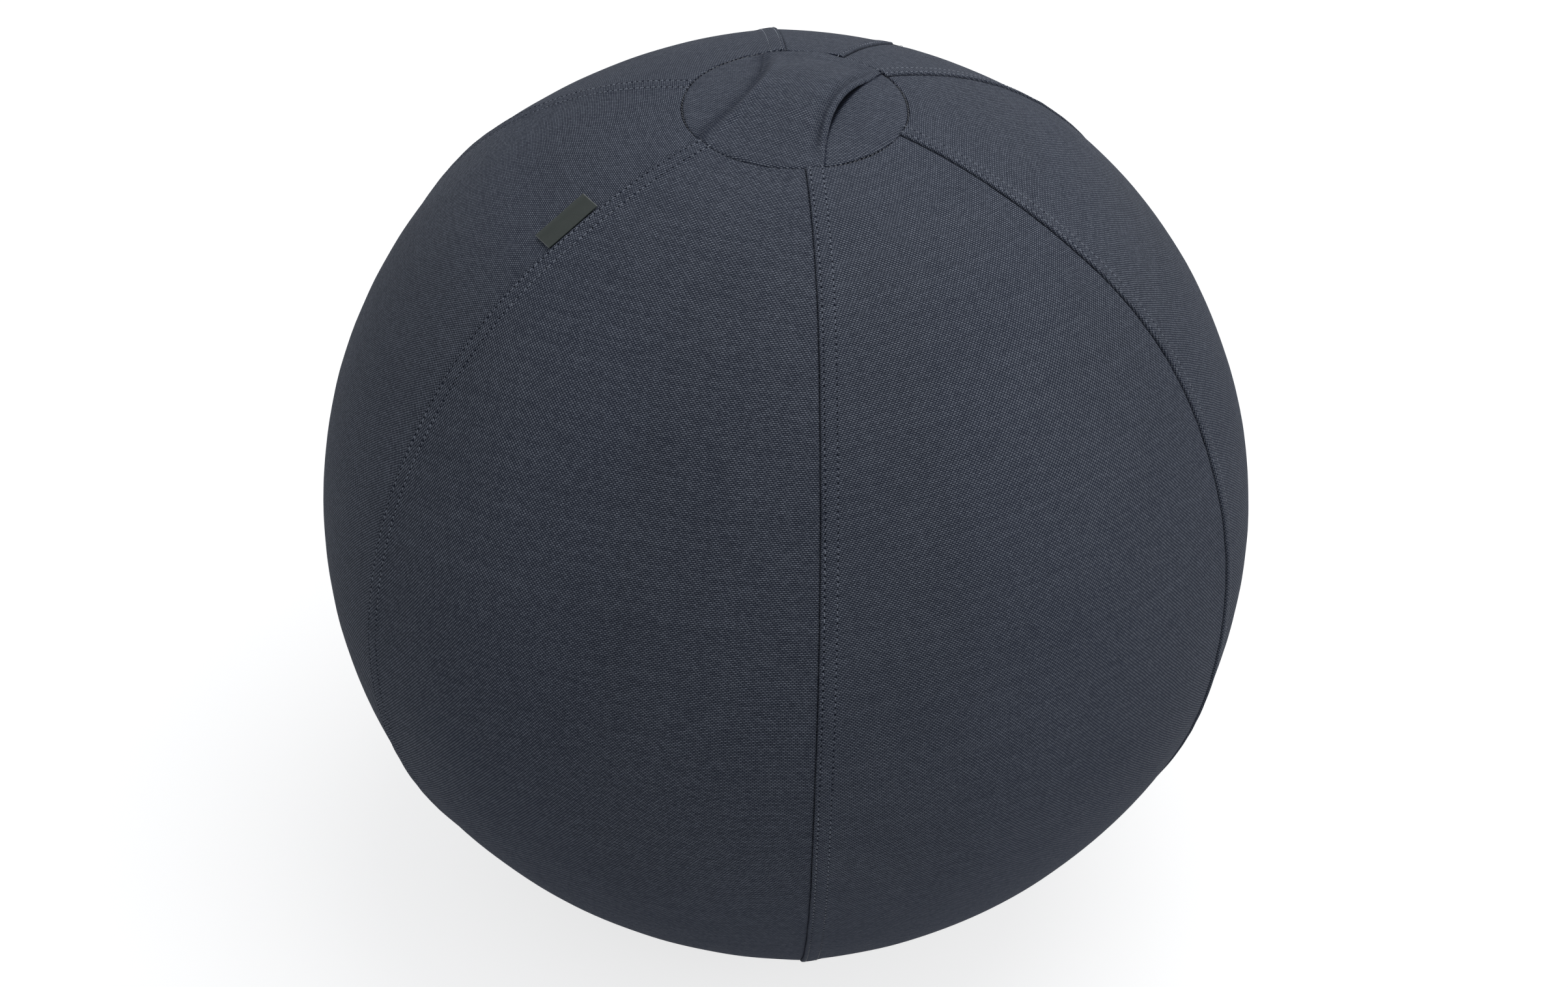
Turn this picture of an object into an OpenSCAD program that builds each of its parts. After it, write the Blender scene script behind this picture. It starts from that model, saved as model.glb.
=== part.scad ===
// Sitting ball: an inflatable bladder in a zipped canvas cover of six panels,
// with a round cap and carrying strap on top and a weight pouch in the base.
// Millimetres. Z is up, the origin is the middle of the flat that the ball rests on.
// Azimuth is counted from -Y (the front) toward +X, polar angle from the top.

/* [Ball] */
// Radius of the cover in the middle of each panel
panel_r = 323; // [270:1:380]
// Height of each seam ridge over the middle of a panel, at the widest place
ridge_h = 4.4; // [2:0.2:7]
// Radius of the flat that the ball rests on
flat_r = 71.5; // [66:0.5:73]

/* [Cover cloth] */
// Thickness of the canvas
cloth_t = 0.9; // [0.6:0.1:1.2]
// Width of the band beside each seam, which is its turned-in allowance
band_w = 11; // [8:0.5:14]
// Height of each seam band over the panel
band_rise = 1; // [0.4:0.1:1.2]
// Width of the groove between two pieces that are sewn edge to edge
groove_w = 0.3; // [0.2:0.1:0.6]

/* [Top cap] */
// Radius of the cap
cap_r = 73; // [68:0.5:80]
// Width of the allowance that is turned in under the cap
cap_hem_w = 10; // [7:0.5:14]

/* [Handle strap] */
// Width of the strap at its sewn ends
strap_end_w = 83; // [66:1:90]
// Width of the strap at its waist
strap_waist_w = 59; // [44:1:64]
// How far the strap's waist lies to the right of the line between its ends
strap_shift = 3.5; // [-5:0.5:5]
// Thickness of the strap, two layers of canvas and a lining
strap_t = 2; // [1.2:0.1:3]
// Finger gap under the middle of the strap
strap_gap = 12; // [8:0.5:18]
// How far the strap's long edges droop at its middle
strap_droop = 1.6; // [0:0.2:4]
// Turn of the strap about the vertical, from the middle of the front panel
strap_turn = 5.5; // [0:0.5:10]

/* [Label] */
// Length of the label along the seam
label_l = 40; // [30:1:60]
// Width of the label
label_w = 17; // [10:0.5:24]
// Thickness of the folded label
label_t = 0.6; // [0.4:0.1:1]
// Polar angle of the label's middle
label_polar = 30.4; // [24:0.2:60]
// Height of the label's sewn edge over the seam
label_seat = 0.9; // [0.8:0.1:1.4]

/* [Zip] */
// Polar angle of the zip's upper end
zip_top_polar = 30; // [26:1:45]
// Polar angle of the zip's lower end
zip_low_polar = 118; // [100:1:126]
// Width of the gap between the cover's edges along the zip
zip_gap_w = 10; // [9.6:0.2:14]
// Width of the hem beside the zip
zip_hem_w = 10; // [7:0.5:13]
// Width of each tape
tape_w = 12.5; // [10:0.5:15]
// Thickness of each tape
tape_t = 0.6; // [0.4:0.1:0.8]
// Length of tape sewn in past each end of the zip
tape_tail = 8; // [4:1:14]
// Width of each coil
coil_w = 2.2; // [1.8:0.1:2.4]
// Height of each coil
coil_h = 1.75; // [1.4:0.05:2]
// Width of the slot between the two coils
coil_slot = 1.2; // [1.1:0.1:1.4]
// Length of each end stop
stop_l = 3; // [2:0.5:5]

/* [Slider] */
// Length of the slider
slider_l = 10.5; // [9:0.5:14]
// Width of the slider at its nose
slider_nose_w = 8.8; // [8.8:0.1:9]
// Width of the slider at its tail
slider_tail_w = 7.8; // [7.8:0.1:8.4]
// Thickness of the slider's two plates
plate_t = 1; // [0.8:0.1:1.4]
// Running clearance round the zip
run_gap = 0.3; // [0.25:0.05:0.4]
// Thickness of the post between the plates
post_t = 0.6; // [0.4:0.1:0.6]
// Width of the bail that holds the pull
bail_w = 1.4; // [1:0.1:1.8]
// Length of the bail
bail_l = 6.4; // [5.6:0.2:8]
// Thickness of the bail's arch
bail_t = 0.8; // [0.6:0.1:1.2]
// Height of the opening under the bail's arch
bail_gap = 1.5; // [1.4:0.1:2]

/* [Pull] */
// Length of the pull from its bar to its end
pull_l = 24; // [16:1:34]
// Width of the pull
pull_w = 6; // [5:0.5:8]
// Thickness of the pull
pull_t = 1; // [0.8:0.1:1.2]
// Diameter of the pull's bar, which turns in the bail
bar_d = 0.9; // [0.6:0.1:1]
// Diameter of the hole near the pull's end
pull_hole_d = 3; // [2:0.5:3.5]

/* [Bladder] */
// Thickness of the bladder's wall
bladder_t = 1.2; // [0.8:0.1:2]
// Clearance between the bladder and the turned-in seams
bladder_gap = 0.2; // [0.1:0.1:1]
// Azimuth of the valve
valve_az = 167; // [160:1:170]
// Polar angle of the valve
valve_polar = 74; // [50:1:100]
// Radius of the valve seat's body
seat_r = 7; // [5.5:0.5:9]
// Radius of the valve seat's inner flange
seat_flange_r = 13; // [10:0.5:18]
// Length of the valve seat inside the wall
seat_l = 9; // [6:0.5:14]
// Diameter of the plug's stem
plug_d = 8; // [5:0.5:9]
// Length of the plug's stem
plug_l = 15; // [9:1:20]
// Radius of the plug's head
plug_head_r = 6; // [5:0.5:8]
// Thickness of the plug's head
plug_head_t = 1; // [0.6:0.1:1.4]
// Clearance between the plug and its seat
plug_gap = 0.05; // [0.02:0.01:0.1]

/* [Base] */
// Radius of the base panel
base_r = 73; // [68:0.5:80]
// Thickness of the base panel, coated canvas
base_t = 1.2; // [0.9:0.1:2]
// Width of the allowance that is turned in over the base panel
base_hem_w = 10; // [7:0.5:14]
// Thickness of the weight pouch
pouch_h = 22; // [14:1:28]
// Radius of the pouch's seam edge
pouch_r = 86; // [82:1:90]
// Width of the pouch's sewn edge
pouch_hem_w = 6; // [4:0.5:9]
// Thickness of the pouch's cloth
pouch_t = 0.8; // [0.5:0.1:1.2]

/* [Hidden] */
$fn = 160;
COVER = [0.20, 0.22, 0.26];
LABEL = [0.17, 0.19, 0.18];
DARK = [0.12, 0.13, 0.15];
STEEL = [0.45, 0.46, 0.48];
PALE = [0.62, 0.64, 0.66];
SAND = [0.72, 0.63, 0.47];

// Rest clearance between layers of cloth, and the overlap that joins two stretches of one piece
layer_gap = 0.1;
lap = 0.5;
// Depth of the turned step where a panel dives under its neighbour
step_w = 2;
// Clearance between pieces that only touch when the ball is used
rest_gap = 0.3;

// Six panels, their seams half way between them
panel_step = 60;
half_step = panel_step / 2;
zip_az = 180;
label_az = 330;

// Each panel is a barrel shape whose upright axis lies behind the ball's middle
seam_r = panel_r + ridge_h;
axis_shift = (seam_r * seam_r - panel_r * panel_r) / (2 * (panel_r - seam_r * cos(half_step)));
ball_z = sqrt(panel_r * panel_r - flat_r * flat_r);
far = 2 * panel_r;

// Heights of the layers of cloth over the panel's surface, negative inward
band_floor = band_rise - 2 * cloth_t;
tail_top = band_floor - layer_gap;
tail_floor = tail_top - cloth_t;
hem_floor = -2 * cloth_t;
cap_tail_top = hem_floor - layer_gap;
cap_tail_floor = cap_tail_top - cloth_t;
tape_top = min(hem_floor, tail_floor) - layer_gap;
tape_floor = tape_top - tape_t;
coil_floor = tape_top + layer_gap / 2;
coil_top = coil_floor + coil_h;

// The slider's plates, above and below the zip
plate_floor = max(0, coil_top) + run_gap;
plate_top = plate_floor + plate_t;
keel_top = tape_floor - run_gap;
keel_floor = keel_top - plate_t;
flange_floor = tape_top + run_gap;
coil_edge = coil_slot / 2 + coil_w;
bar_z = plate_top + bail_gap / 2;
stop_angle = angle_of(stop_l);
slider_angle = angle_of(slider_l / 2);
zip_park_polar = zip_low_polar - angle_of(2 * rest_gap) - stop_angle - slider_angle;
zip_open_polar = zip_top_polar + angle_of(2 * rest_gap) + stop_angle + slider_angle;

// The bladder fills the cover and is let in round the zip and over the pouch
bladder_r = panel_r + min(cap_tail_floor, tape_floor) - bladder_gap;
zip_relief_r = panel_r + keel_floor - 2 * rest_gap;
zip_relief_w = slider_nose_w + 4;

// The pouch lies on the panels' turned-in edges inside the base
base_tail_floor = base_t + layer_gap;
base_tail_rise = ball_z - base_tail_floor;
base_tail_r = max(
    base_r + step_w,
    sqrt(pow(panel_r - cloth_t / 2, 2) - base_tail_rise * base_tail_rise)
);
pouch_floor = base_tail_floor + cloth_t + rest_gap;
pouch_mid = pouch_floor + pouch_h / 2;
pouch_flat_r = pouch_r - pouch_hem_w - pouch_h / 2;

// The label's hinge line lies just outside the seam
label_hinge_r = seam_radius(label_polar) + label_seat;
label_x = -(groove_w / 2 + label_t / 2 + 0.1);

// The strap runs from edge to edge of the cap
strap_reach = cap_r - 2 * groove_w;
strap_rows = 30;
strap_cols = 8;

// Angle at the ball's middle of a length along the cover
function angle_of(length) = length / panel_r * 180 / PI;

// Distance from the ball's middle to the seam ridge at a polar angle
function seam_radius(polar, r = panel_r, turns = 8) =
    turns == 0 ? r : seam_radius(polar, r * panel_r / barrel_r(r * sin(polar), r * cos(polar)), turns - 1);
function barrel_r(out, up) =
    norm([norm([out * cos(half_step) + axis_shift, out * sin(half_step)]) - axis_shift, up]);

// Height of the cap's outer face over the floor
function cap_z(x, y) = ball_z + sqrt(panel_r * panel_r - x * x - y * y);

// Everything inside one panel's barrel surface, raised by rise
module barrel(az, rise) {
    rotate([0, 0, az])
    translate([0, axis_shift, ball_z])
    rotate_extrude()
    intersection() {
        translate([axis_shift, 0]) circle(panel_r + rise);
        translate([0, -far]) square([far, 2 * far]);
    }
}

// A sheet that follows one panel's surface between two heights
module sheet(az, low, high) {
    difference() {
        barrel(az, high);
        barrel(az, low);
    }
}

// A sheet of the round cap's surface between two heights
module dome_sheet(low, high) {
    translate([0, 0, ball_z])
    difference() {
        sphere(panel_r + high);
        sphere(panel_r + low);
    }
}

// An upright slice from x0 to x1 beside the line that leaves the axis at an azimuth
module slice(az, x0, x1) {
    rotate([0, 0, az])
    translate([x0, -far, -far])
    cube([x1 - x0, far, 3 * far]);
}

// An upright ring, or a column where r0 is 0
module ring(r0, r1, z0, z1) {
    translate([0, 0, z0])
    difference() {
        cylinder(r = r1, h = z1 - z0);
        if (r0 > 0) translate([0, 0, -1]) cylinder(r = r0, h = z1 - z0 + 2);
    }
}

// The part of the back between two polar angles, cut square to the cover
module back_stretch(polar0, polar1, x0, x1) {
    middle = (polar0 + polar1) / 2;
    translate([x0, 0, ball_z])
    rotate([90, 0, 90])
    linear_extrude(x1 - x0)
    polygon([
        [0, 0],
        [far * sin(polar0), far * cos(polar0)],
        [far * sin(middle), far * cos(middle)],
        [far * sin(polar1), far * cos(polar1)],
    ]);
}

// Places its children on the cover over the zip: Y runs down the zip and Z outward
module on_zip(polar) {
    translate([0, 0, ball_z])
    rotate([-polar, 0, 0])
    translate([0, 0, panel_r])
    children();
}

// Cuts a panel's edges back to the grooves round the cap and the base
module trim_ends() {
    difference() {
        children();
        ring(0, cap_r + groove_w / 2, ball_z, ball_z + far);
        ring(0, base_r + groove_w / 2, -1, ball_z);
        ring(0, far, -far, base_t / 4);
    }
}

// One panel's allowances under the cap and over the base, clear of its seams
module end_tails(az, x0, x1) {
    intersection() {
        union() {
            intersection() {
                dome_sheet(cap_tail_floor, cap_tail_top);
                ring(cap_r - cap_hem_w, cap_r + step_w, ball_z, ball_z + far);
            }
            intersection() {
                dome_sheet(cap_tail_floor, -cloth_t / 2);
                ring(cap_r + groove_w / 2, cap_r + step_w, ball_z, ball_z + far);
            }
            ring(base_r - base_hem_w, base_tail_r, base_tail_floor, base_tail_floor + cloth_t);
        }
        slice(az - half_step, x0, far);
        slice(az + half_step, -far, x1);
    }
}

// The main cloth of a panel with the raised band along its lower-azimuth seam
module panel_body(az) {
    intersection() {
        sheet(az, -cloth_t, 0);
        slice(az - half_step, band_w - lap, far);
        slice(az + half_step, -far, -groove_w / 2);
    }
    intersection() {
        sheet(az, band_floor, band_rise);
        slice(az - half_step, groove_w / 2, band_w);
        slice(az + half_step, -far, -groove_w / 2);
    }
}

// The allowance that dives under the next panel's band, between two panel surfaces
module seam_tail(seam_az, own_az, next_az) {
    intersection() {
        sheet(own_az, tail_floor, 0);
        slice(seam_az, -step_w, -groove_w / 2);
    }
    intersection() {
        sheet(next_az, tail_floor, tail_top);
        slice(seam_az, -groove_w / 2 - lap, band_w - 1);
    }
}

module panel(az) {
    color(COVER) {
        union() {
            trim_ends() {
                panel_body(az);
                seam_tail(az + half_step, az, az + panel_step);
            }
            end_tails(az, band_w + lap, -step_w - 2 * lap);
        }
    }
}

module front_panel() {
    panel(0);
}

module front_right_panel() {
    panel(panel_step);
}

module back_right_panel() {
    panel(2 * panel_step);
}

module back_left_panel() {
    panel(4 * panel_step);
}

module front_left_panel() {
    panel(5 * panel_step);
}

// The back panel is cut down its middle: lapped above and below, open along the zip
module back_panel_right() {
    half_gap = zip_gap_w / 2;
    color(COVER) {
        union() {
            trim_ends() {
                // Band along the seam to the back right panel
                intersection() {
                    sheet(zip_az, band_floor, band_rise);
                    slice(zip_az - half_step, groove_w / 2, band_w);
                    slice(zip_az, -far, -groove_w / 2);
                }
                // Main cloth
                difference() {
                    intersection() {
                        sheet(zip_az, -cloth_t, 0);
                        slice(zip_az - half_step, band_w - lap, far);
                        slice(zip_az, -far, -groove_w / 2);
                    }
                    back_stretch(zip_top_polar, zip_low_polar, -half_gap, half_gap);
                }
                // Hem along the zip
                intersection() {
                    sheet(zip_az, hem_floor, 0);
                    back_stretch(zip_top_polar, zip_low_polar, half_gap, half_gap + zip_hem_w);
                }
                // Allowance under the left half, above and below the zip
                difference() {
                    seam_tail(zip_az, zip_az, zip_az);
                    back_stretch(zip_top_polar, zip_low_polar, -band_w, band_w);
                }
            }
            end_tails_half(1);
        }
    }
}

module back_panel_left() {
    half_gap = zip_gap_w / 2;
    color(COVER) {
        union() {
            trim_ends() {
                // Raised lap along the middle, above and below the zip
                difference() {
                    intersection() {
                        sheet(zip_az, band_floor, band_rise);
                        slice(zip_az, groove_w / 2, band_w);
                    }
                    back_stretch(zip_top_polar, zip_low_polar, -far, far);
                }
                // Main cloth
                intersection() {
                    sheet(zip_az, -cloth_t, 0);
                    slice(zip_az, band_w - lap, far);
                    slice(zip_az + half_step, -far, -groove_w / 2);
                }
                // Cloth and hem beside the zip
                intersection() {
                    sheet(zip_az, -cloth_t, 0);
                    back_stretch(zip_top_polar, zip_low_polar, -band_w, -half_gap);
                }
                intersection() {
                    sheet(zip_az, hem_floor, 0);
                    back_stretch(zip_top_polar, zip_low_polar, -half_gap - zip_hem_w, -half_gap);
                }
                seam_tail(zip_az + half_step, zip_az, zip_az + panel_step);
            }
            end_tails_half(-1);
        }
    }
}

// The end allowances of one half of the back panel: side is 1 for right, -1 for left
module end_tails_half(side) {
    intersection() {
        end_tails(zip_az, band_w + lap, -step_w - 2 * lap);
        if (side > 0) slice(zip_az, -far, -step_w - 2 * lap);
        else slice(zip_az, band_w + lap, far);
    }
}

// Round cap with its edge turned in
module top_cap() {
    edge_r = cap_r - groove_w / 2;
    color(COVER) {
        intersection() {
            dome_sheet(-cloth_t, 0);
            ring(0, edge_r, ball_z, ball_z + far);
        }
        intersection() {
            dome_sheet(hem_floor, -cloth_t / 2);
            ring(cap_r - cap_hem_w, edge_r, ball_z, ball_z + far);
        }
    }
}

module base_panel() {
    color(DARK) cylinder(r = base_r - groove_w / 2, h = base_t);
}

// Half width of the strap at u, which runs from -1 at the front end to 1 at the back end
function strap_half(u) = (strap_waist_w + (strap_end_w - strap_waist_w) * u * u) / 2;

// Plan position on the strap, v runs from -1 to 1 across it
function strap_plan(u, v) =
    let (n = v * strap_half(u) + strap_shift * (1 - u * u), end = v * strap_end_w / 2)
    [n, u * sqrt(strap_reach * strap_reach - end * end)];

// Height of the strap's underside over the cap
function strap_lift(u, v) =
    rest_gap + (strap_gap - rest_gap - strap_droop * v * v) * (1 + cos(180 * u)) / 2;

function strap_point(u, v, up) =
    let (p = strap_plan(u, v))
    [p.x, p.y, cap_z(p.x, p.y) + strap_lift(u, v) + up];

// A sheet of rows and columns of points with an upper and a lower face, closed round its edge
module closed_sheet(upper, lower, rows, cols) {
    wide = cols + 1;
    count = (rows + 1) * wide;
    cells = [for (i = [0 : rows - 1], j = [0 : cols - 1]) i * wide + j];
    ends = [for (j = [0 : cols - 1]) j];
    sides = [for (i = [0 : rows - 1]) i * wide];
    last = rows * wide;
    polyhedron(
        points = concat(upper, lower),
        faces = concat(
            [for (a = cells) [a, a + wide, a + 1]],
            [for (a = cells) [a + 1, a + wide, a + wide + 1]],
            [for (a = cells) [count + a, count + a + 1, count + a + wide]],
            [for (a = cells) [count + a + 1, count + a + wide + 1, count + a + wide]],
            [for (a = ends) [a, a + 1, count + a]],
            [for (a = ends) [a + 1, count + a + 1, count + a]],
            [for (a = ends) [last + a, count + last + a, last + a + 1]],
            [for (a = ends) [last + a + 1, count + last + a, count + last + a + 1]],
            [for (a = sides) [a, count + a, a + wide]],
            [for (a = sides) [a + wide, count + a, count + a + wide]],
            [for (a = sides) [cols + a, cols + a + wide, count + cols + a]],
            [for (a = sides) [cols + a + wide, count + cols + a + wide, count + cols + a]]
        ),
        convexity = 6
    );
}

// Carrying strap, slack over the cap and sewn in at both ends
module handle_strap() {
    rows = [for (i = [0 : strap_rows]) 2 * i / strap_rows - 1];
    cols = [for (j = [0 : strap_cols]) 2 * j / strap_cols - 1];
    color(COVER)
    rotate([0, 0, strap_turn])
    closed_sheet(
        [for (u = rows, v = cols) strap_point(u, v, strap_t)],
        [for (u = rows, v = cols) strap_point(u, v, 0)],
        strap_rows,
        strap_cols
    );
}

// Folded label, hinged where it is sewn into the seam
module label_tag() {
    color(LABEL)
    rotate([0, 0, label_az])
    translate([0, 0, ball_z])
    rotate([label_polar, 0, 0])
    translate([label_x, 0, label_hinge_r]) {
        translate([-label_w, -label_l / 2, -label_t / 2]) cube([label_w, label_l, label_t]);
        rotate([90, 0, 0]) cylinder(r = label_t / 2, h = label_l, center = true);
    }
}

// One tape, which the coil is sewn on: side is 1 for right, -1 for left
module zip_tape(side) {
    tail = angle_of(tape_tail);
    inner = side * coil_slot / 2;
    outer = side * (coil_slot / 2 + tape_w);
    color(DARK)
    intersection() {
        sheet(zip_az, tape_floor, tape_top);
        back_stretch(zip_top_polar - tail, zip_low_polar + tail, min(inner, outer), max(inner, outer));
    }
}

module zip_tape_right() {
    zip_tape(1);
}

module zip_tape_left() {
    zip_tape(-1);
}

// One coil's body between the end stops
module zip_coil(side) {
    edge = stop_angle + angle_of(2 * rest_gap);
    inner = side * coil_slot / 2;
    outer = side * coil_edge;
    color(DARK)
    intersection() {
        sheet(zip_az, coil_floor, coil_top);
        back_stretch(zip_top_polar + edge, zip_low_polar - edge, min(inner, outer), max(inner, outer));
    }
}

module zip_coil_right() {
    zip_coil(1);
}

module zip_coil_left() {
    zip_coil(-1);
}

// A clip that ends the zip, on the tapes between two distances across it
module zip_stop(polar0, polar1, x0, x1) {
    intersection() {
        sheet(zip_az, coil_floor, coil_top + rest_gap);
        back_stretch(polar0, polar1, x0, x1);
    }
}

// The clip at the open end joins both tapes
module zip_bottom_stop() {
    start = zip_top_polar + angle_of(rest_gap);
    color(STEEL) zip_stop(start, start + stop_angle, -coil_edge - rest_gap, coil_edge + rest_gap);
}

// A clip on each tape ends the slider's run when the zip is closed
module zip_top_stops() {
    end = zip_low_polar - angle_of(rest_gap);
    color(STEEL) {
        zip_stop(end - stop_angle, end, coil_slot / 2, coil_edge + rest_gap);
        zip_stop(end - stop_angle, end, -coil_edge - rest_gap, -coil_slot / 2);
    }
}

// Outline of the slider's plates, wide at the nose, with corners cut off
module slider_outline() {
    corner = 1.2;
    nose = slider_nose_w / 2;
    tail = slider_tail_w / 2;
    end = slider_l / 2;
    polygon([
        [-nose + corner, end], [nose - corner, end], [nose, end - corner], [tail, -end + corner],
        [tail - corner, -end], [-tail + corner, -end], [-tail, -end + corner], [-nose, end - corner],
    ]);
}

// Slider: two plates joined by a post, with flanges beside the coils and a bail on top
module slider_body() {
    flange_x = coil_edge + run_gap;
    post_l = slider_l * 0.36;
    translate([0, 0, plate_floor]) linear_extrude(plate_t) slider_outline();
    translate([0, 0, keel_floor]) linear_extrude(plate_t) slider_outline();
    translate([-post_t / 2, slider_l / 2 - post_l, keel_top - plate_t / 2])
    cube([post_t, post_l - 1.2, plate_floor - keel_top + plate_t]);
    // Flanges
    translate([0, 0, flange_floor])
    linear_extrude(plate_floor - flange_floor + plate_t / 2)
    difference() {
        slider_outline();
        translate([-flange_x, -slider_l]) square([2 * flange_x, 2 * slider_l]);
    }
    // Bail
    translate([-bail_w / 2, 0, plate_top])
    rotate([90, 0, 90])
    linear_extrude(bail_w)
    difference() {
        intersection() {
            translate([-bail_l / 2, -plate_t / 2]) square([bail_l, bail_gap + bail_t + plate_t / 2]);
            translate([0, bail_gap + bail_t - bail_l * 0.8]) circle(bail_l * 0.8);
        }
        translate([-bail_l / 2 + bail_t * 1.4, 0]) square([bail_l - bail_t * 2.8, bail_gap]);
    }
}

module zip_slider() {
    color(STEEL) on_zip(zip_park_polar) slider_body();
}

// Pull: a bar through the bail, two arms past it and a tab with a hole
module pull_body() {
    clear_r = norm([bail_l / 2, bail_t + bail_gap / 2]) + rest_gap;
    slot_x = bail_w / 2 + rest_gap;
    end_r = pull_w / 2;
    translate([0, 0, -pull_t / 2])
    linear_extrude(pull_t)
    difference() {
        union() {
            translate([-pull_w / 2, -pull_t / 2]) square([pull_w, pull_l - end_r + pull_t / 2]);
            translate([0, pull_l - end_r]) circle(end_r);
        }
        translate([-slot_x, -pull_t]) square([2 * slot_x, clear_r + pull_t]);
        translate([0, pull_l - end_r]) circle(d = pull_hole_d);
    }
    rotate([0, 90, 0]) cylinder(d = bar_d, h = 2 * slot_x + pull_t, center = true);
}

module zip_pull() {
    color(STEEL) on_zip(zip_park_polar) translate([0, 0, bar_z]) pull_body();
}

// The pouch's rounded body, its edge circle grown by extra
module pouch_shape(extra) {
    translate([0, 0, pouch_mid])
    rotate_extrude() {
        translate([0, -pouch_h / 2 - extra]) square([pouch_flat_r, pouch_h + 2 * extra]);
        intersection() {
            translate([pouch_flat_r, 0]) circle(pouch_h / 2 + extra);
            translate([0, -far]) square([far, 2 * far]);
        }
    }
}

// The room that the pouch needs under the bladder, with a margin
module pouch_room(margin) {
    pouch_shape(margin);
    ring(0, pouch_r + margin, -far, pouch_mid + pouch_t + margin);
}

// One side of the bladder's wall, inset from its outer surface
module bladder_skin(inset) {
    difference() {
        translate([0, 0, ball_z]) sphere(bladder_r - inset);
        pouch_room(rest_gap + inset);
        difference() {
            back_stretch(
                zip_top_polar - 2 - angle_of(inset),
                zip_low_polar + 2 + angle_of(inset),
                -zip_relief_w / 2 - inset,
                zip_relief_w / 2 + inset
            );
            translate([0, 0, ball_z]) sphere(zip_relief_r - inset);
        }
    }
}

// Places its children on the bladder's wall at the valve, Z outward
module on_valve() {
    rotate([0, 0, valve_az])
    translate([0, 0, ball_z])
    rotate([valve_polar, 0, 0])
    translate([0, 0, bladder_r])
    children();
}

module bladder() {
    color(PALE)
    difference() {
        bladder_skin(0);
        bladder_skin(bladder_t);
        on_valve() cylinder(r = seat_r + plug_gap, h = 6 * bladder_t, center = true);
    }
}

// Valve seat: a bushing through the wall with a flange inside it
module valve_seat() {
    flange_top = -bladder_t - seat_sag - layer_gap;
    color(DARK)
    on_valve()
    difference() {
        union() {
            translate([0, 0, -seat_l]) cylinder(r = seat_r, h = seat_l);
            translate([0, 0, flange_top - bladder_t]) cylinder(r = seat_flange_r, h = bladder_t);
        }
        translate([0, 0, -seat_l - 1]) cylinder(d = plug_d, h = seat_l + 2);
    }
}

// How far the wall curves away under the seat's flange
seat_sag = seat_flange_r * seat_flange_r / (2 * bladder_r);

// Push-in plug with a flat head
module valve_plug() {
    color(PALE)
    on_valve() {
        translate([0, 0, -plug_l]) cylinder(d = plug_d - 2 * plug_gap, h = plug_l + layer_gap);
        translate([0, 0, layer_gap]) cylinder(r = plug_head_r, h = plug_head_t);
    }
}

// The pouch's cloth on both sides of its middle
module pouch_cloth() {
    difference() {
        union() {
            pouch_shape(0);
            ring(pouch_flat_r, pouch_r, pouch_mid - layer_gap / 2 - pouch_t, pouch_mid + layer_gap / 2 + pouch_t);
        }
        pouch_shape(-pouch_t);
    }
}

module pouch_upper() {
    color(DARK)
    intersection() {
        pouch_cloth();
        ring(0, far, pouch_mid + layer_gap / 2, pouch_mid + far);
    }
}

module pouch_lower() {
    color(DARK)
    intersection() {
        pouch_cloth();
        ring(0, far, -1, pouch_mid - layer_gap / 2);
    }
}

module sand_fill() {
    color(SAND) pouch_shape(-pouch_t - layer_gap);
}

front_panel();
front_right_panel();
back_right_panel();
back_panel_right();
back_panel_left();
back_left_panel();
front_left_panel();
top_cap();
base_panel();
handle_strap();
label_tag();
zip_tape_right();
zip_tape_left();
zip_coil_right();
zip_coil_left();
zip_bottom_stop();
zip_top_stops();
zip_slider();
zip_pull();
bladder();
valve_seat();
valve_plug();
pouch_upper();
pouch_lower();
sand_fill();
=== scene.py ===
"""Sitting ball: sewn canvas cover, carrying strap, label and zip, built round the packed frame."""

import math

import bpy
import numpy as np
from mathutils import Matrix, Vector


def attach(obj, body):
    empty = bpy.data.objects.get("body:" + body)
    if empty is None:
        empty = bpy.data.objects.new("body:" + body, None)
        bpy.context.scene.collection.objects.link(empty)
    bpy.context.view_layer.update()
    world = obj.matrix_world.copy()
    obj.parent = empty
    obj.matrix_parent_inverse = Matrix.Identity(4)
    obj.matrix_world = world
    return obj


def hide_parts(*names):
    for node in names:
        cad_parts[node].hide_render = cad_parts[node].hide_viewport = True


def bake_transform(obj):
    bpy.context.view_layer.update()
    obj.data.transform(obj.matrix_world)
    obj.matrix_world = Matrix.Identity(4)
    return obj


bl_info = {
    "name": "Sitting ball",
    "version": (1, 0, 0),
    "blender": (4, 5, 0),
    "location": "3D View > Sidebar > Sitting ball",
    "description": "Builds the canvas cover, strap, label and zip of an inflatable sitting ball",
    "category": "Add Mesh",
}

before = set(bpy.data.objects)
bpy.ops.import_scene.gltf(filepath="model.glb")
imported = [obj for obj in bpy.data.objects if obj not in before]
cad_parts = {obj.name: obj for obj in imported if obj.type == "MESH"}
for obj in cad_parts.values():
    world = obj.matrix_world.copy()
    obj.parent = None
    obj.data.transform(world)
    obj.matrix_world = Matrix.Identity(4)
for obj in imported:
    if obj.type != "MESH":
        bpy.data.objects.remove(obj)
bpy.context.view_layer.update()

MM = 0.001
FULL_TURN = 2.0 * math.pi
# Rounds in which a value that depends on itself is worked out
ROUNDS = 8
HALF_STEP = 30.0
LOW_PLANE = math.radians(-HALF_STEP)
BACK = 180.0
LABEL_AZIMUTH = 330.0
SEAMS = range(30, 360, 60)
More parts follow.
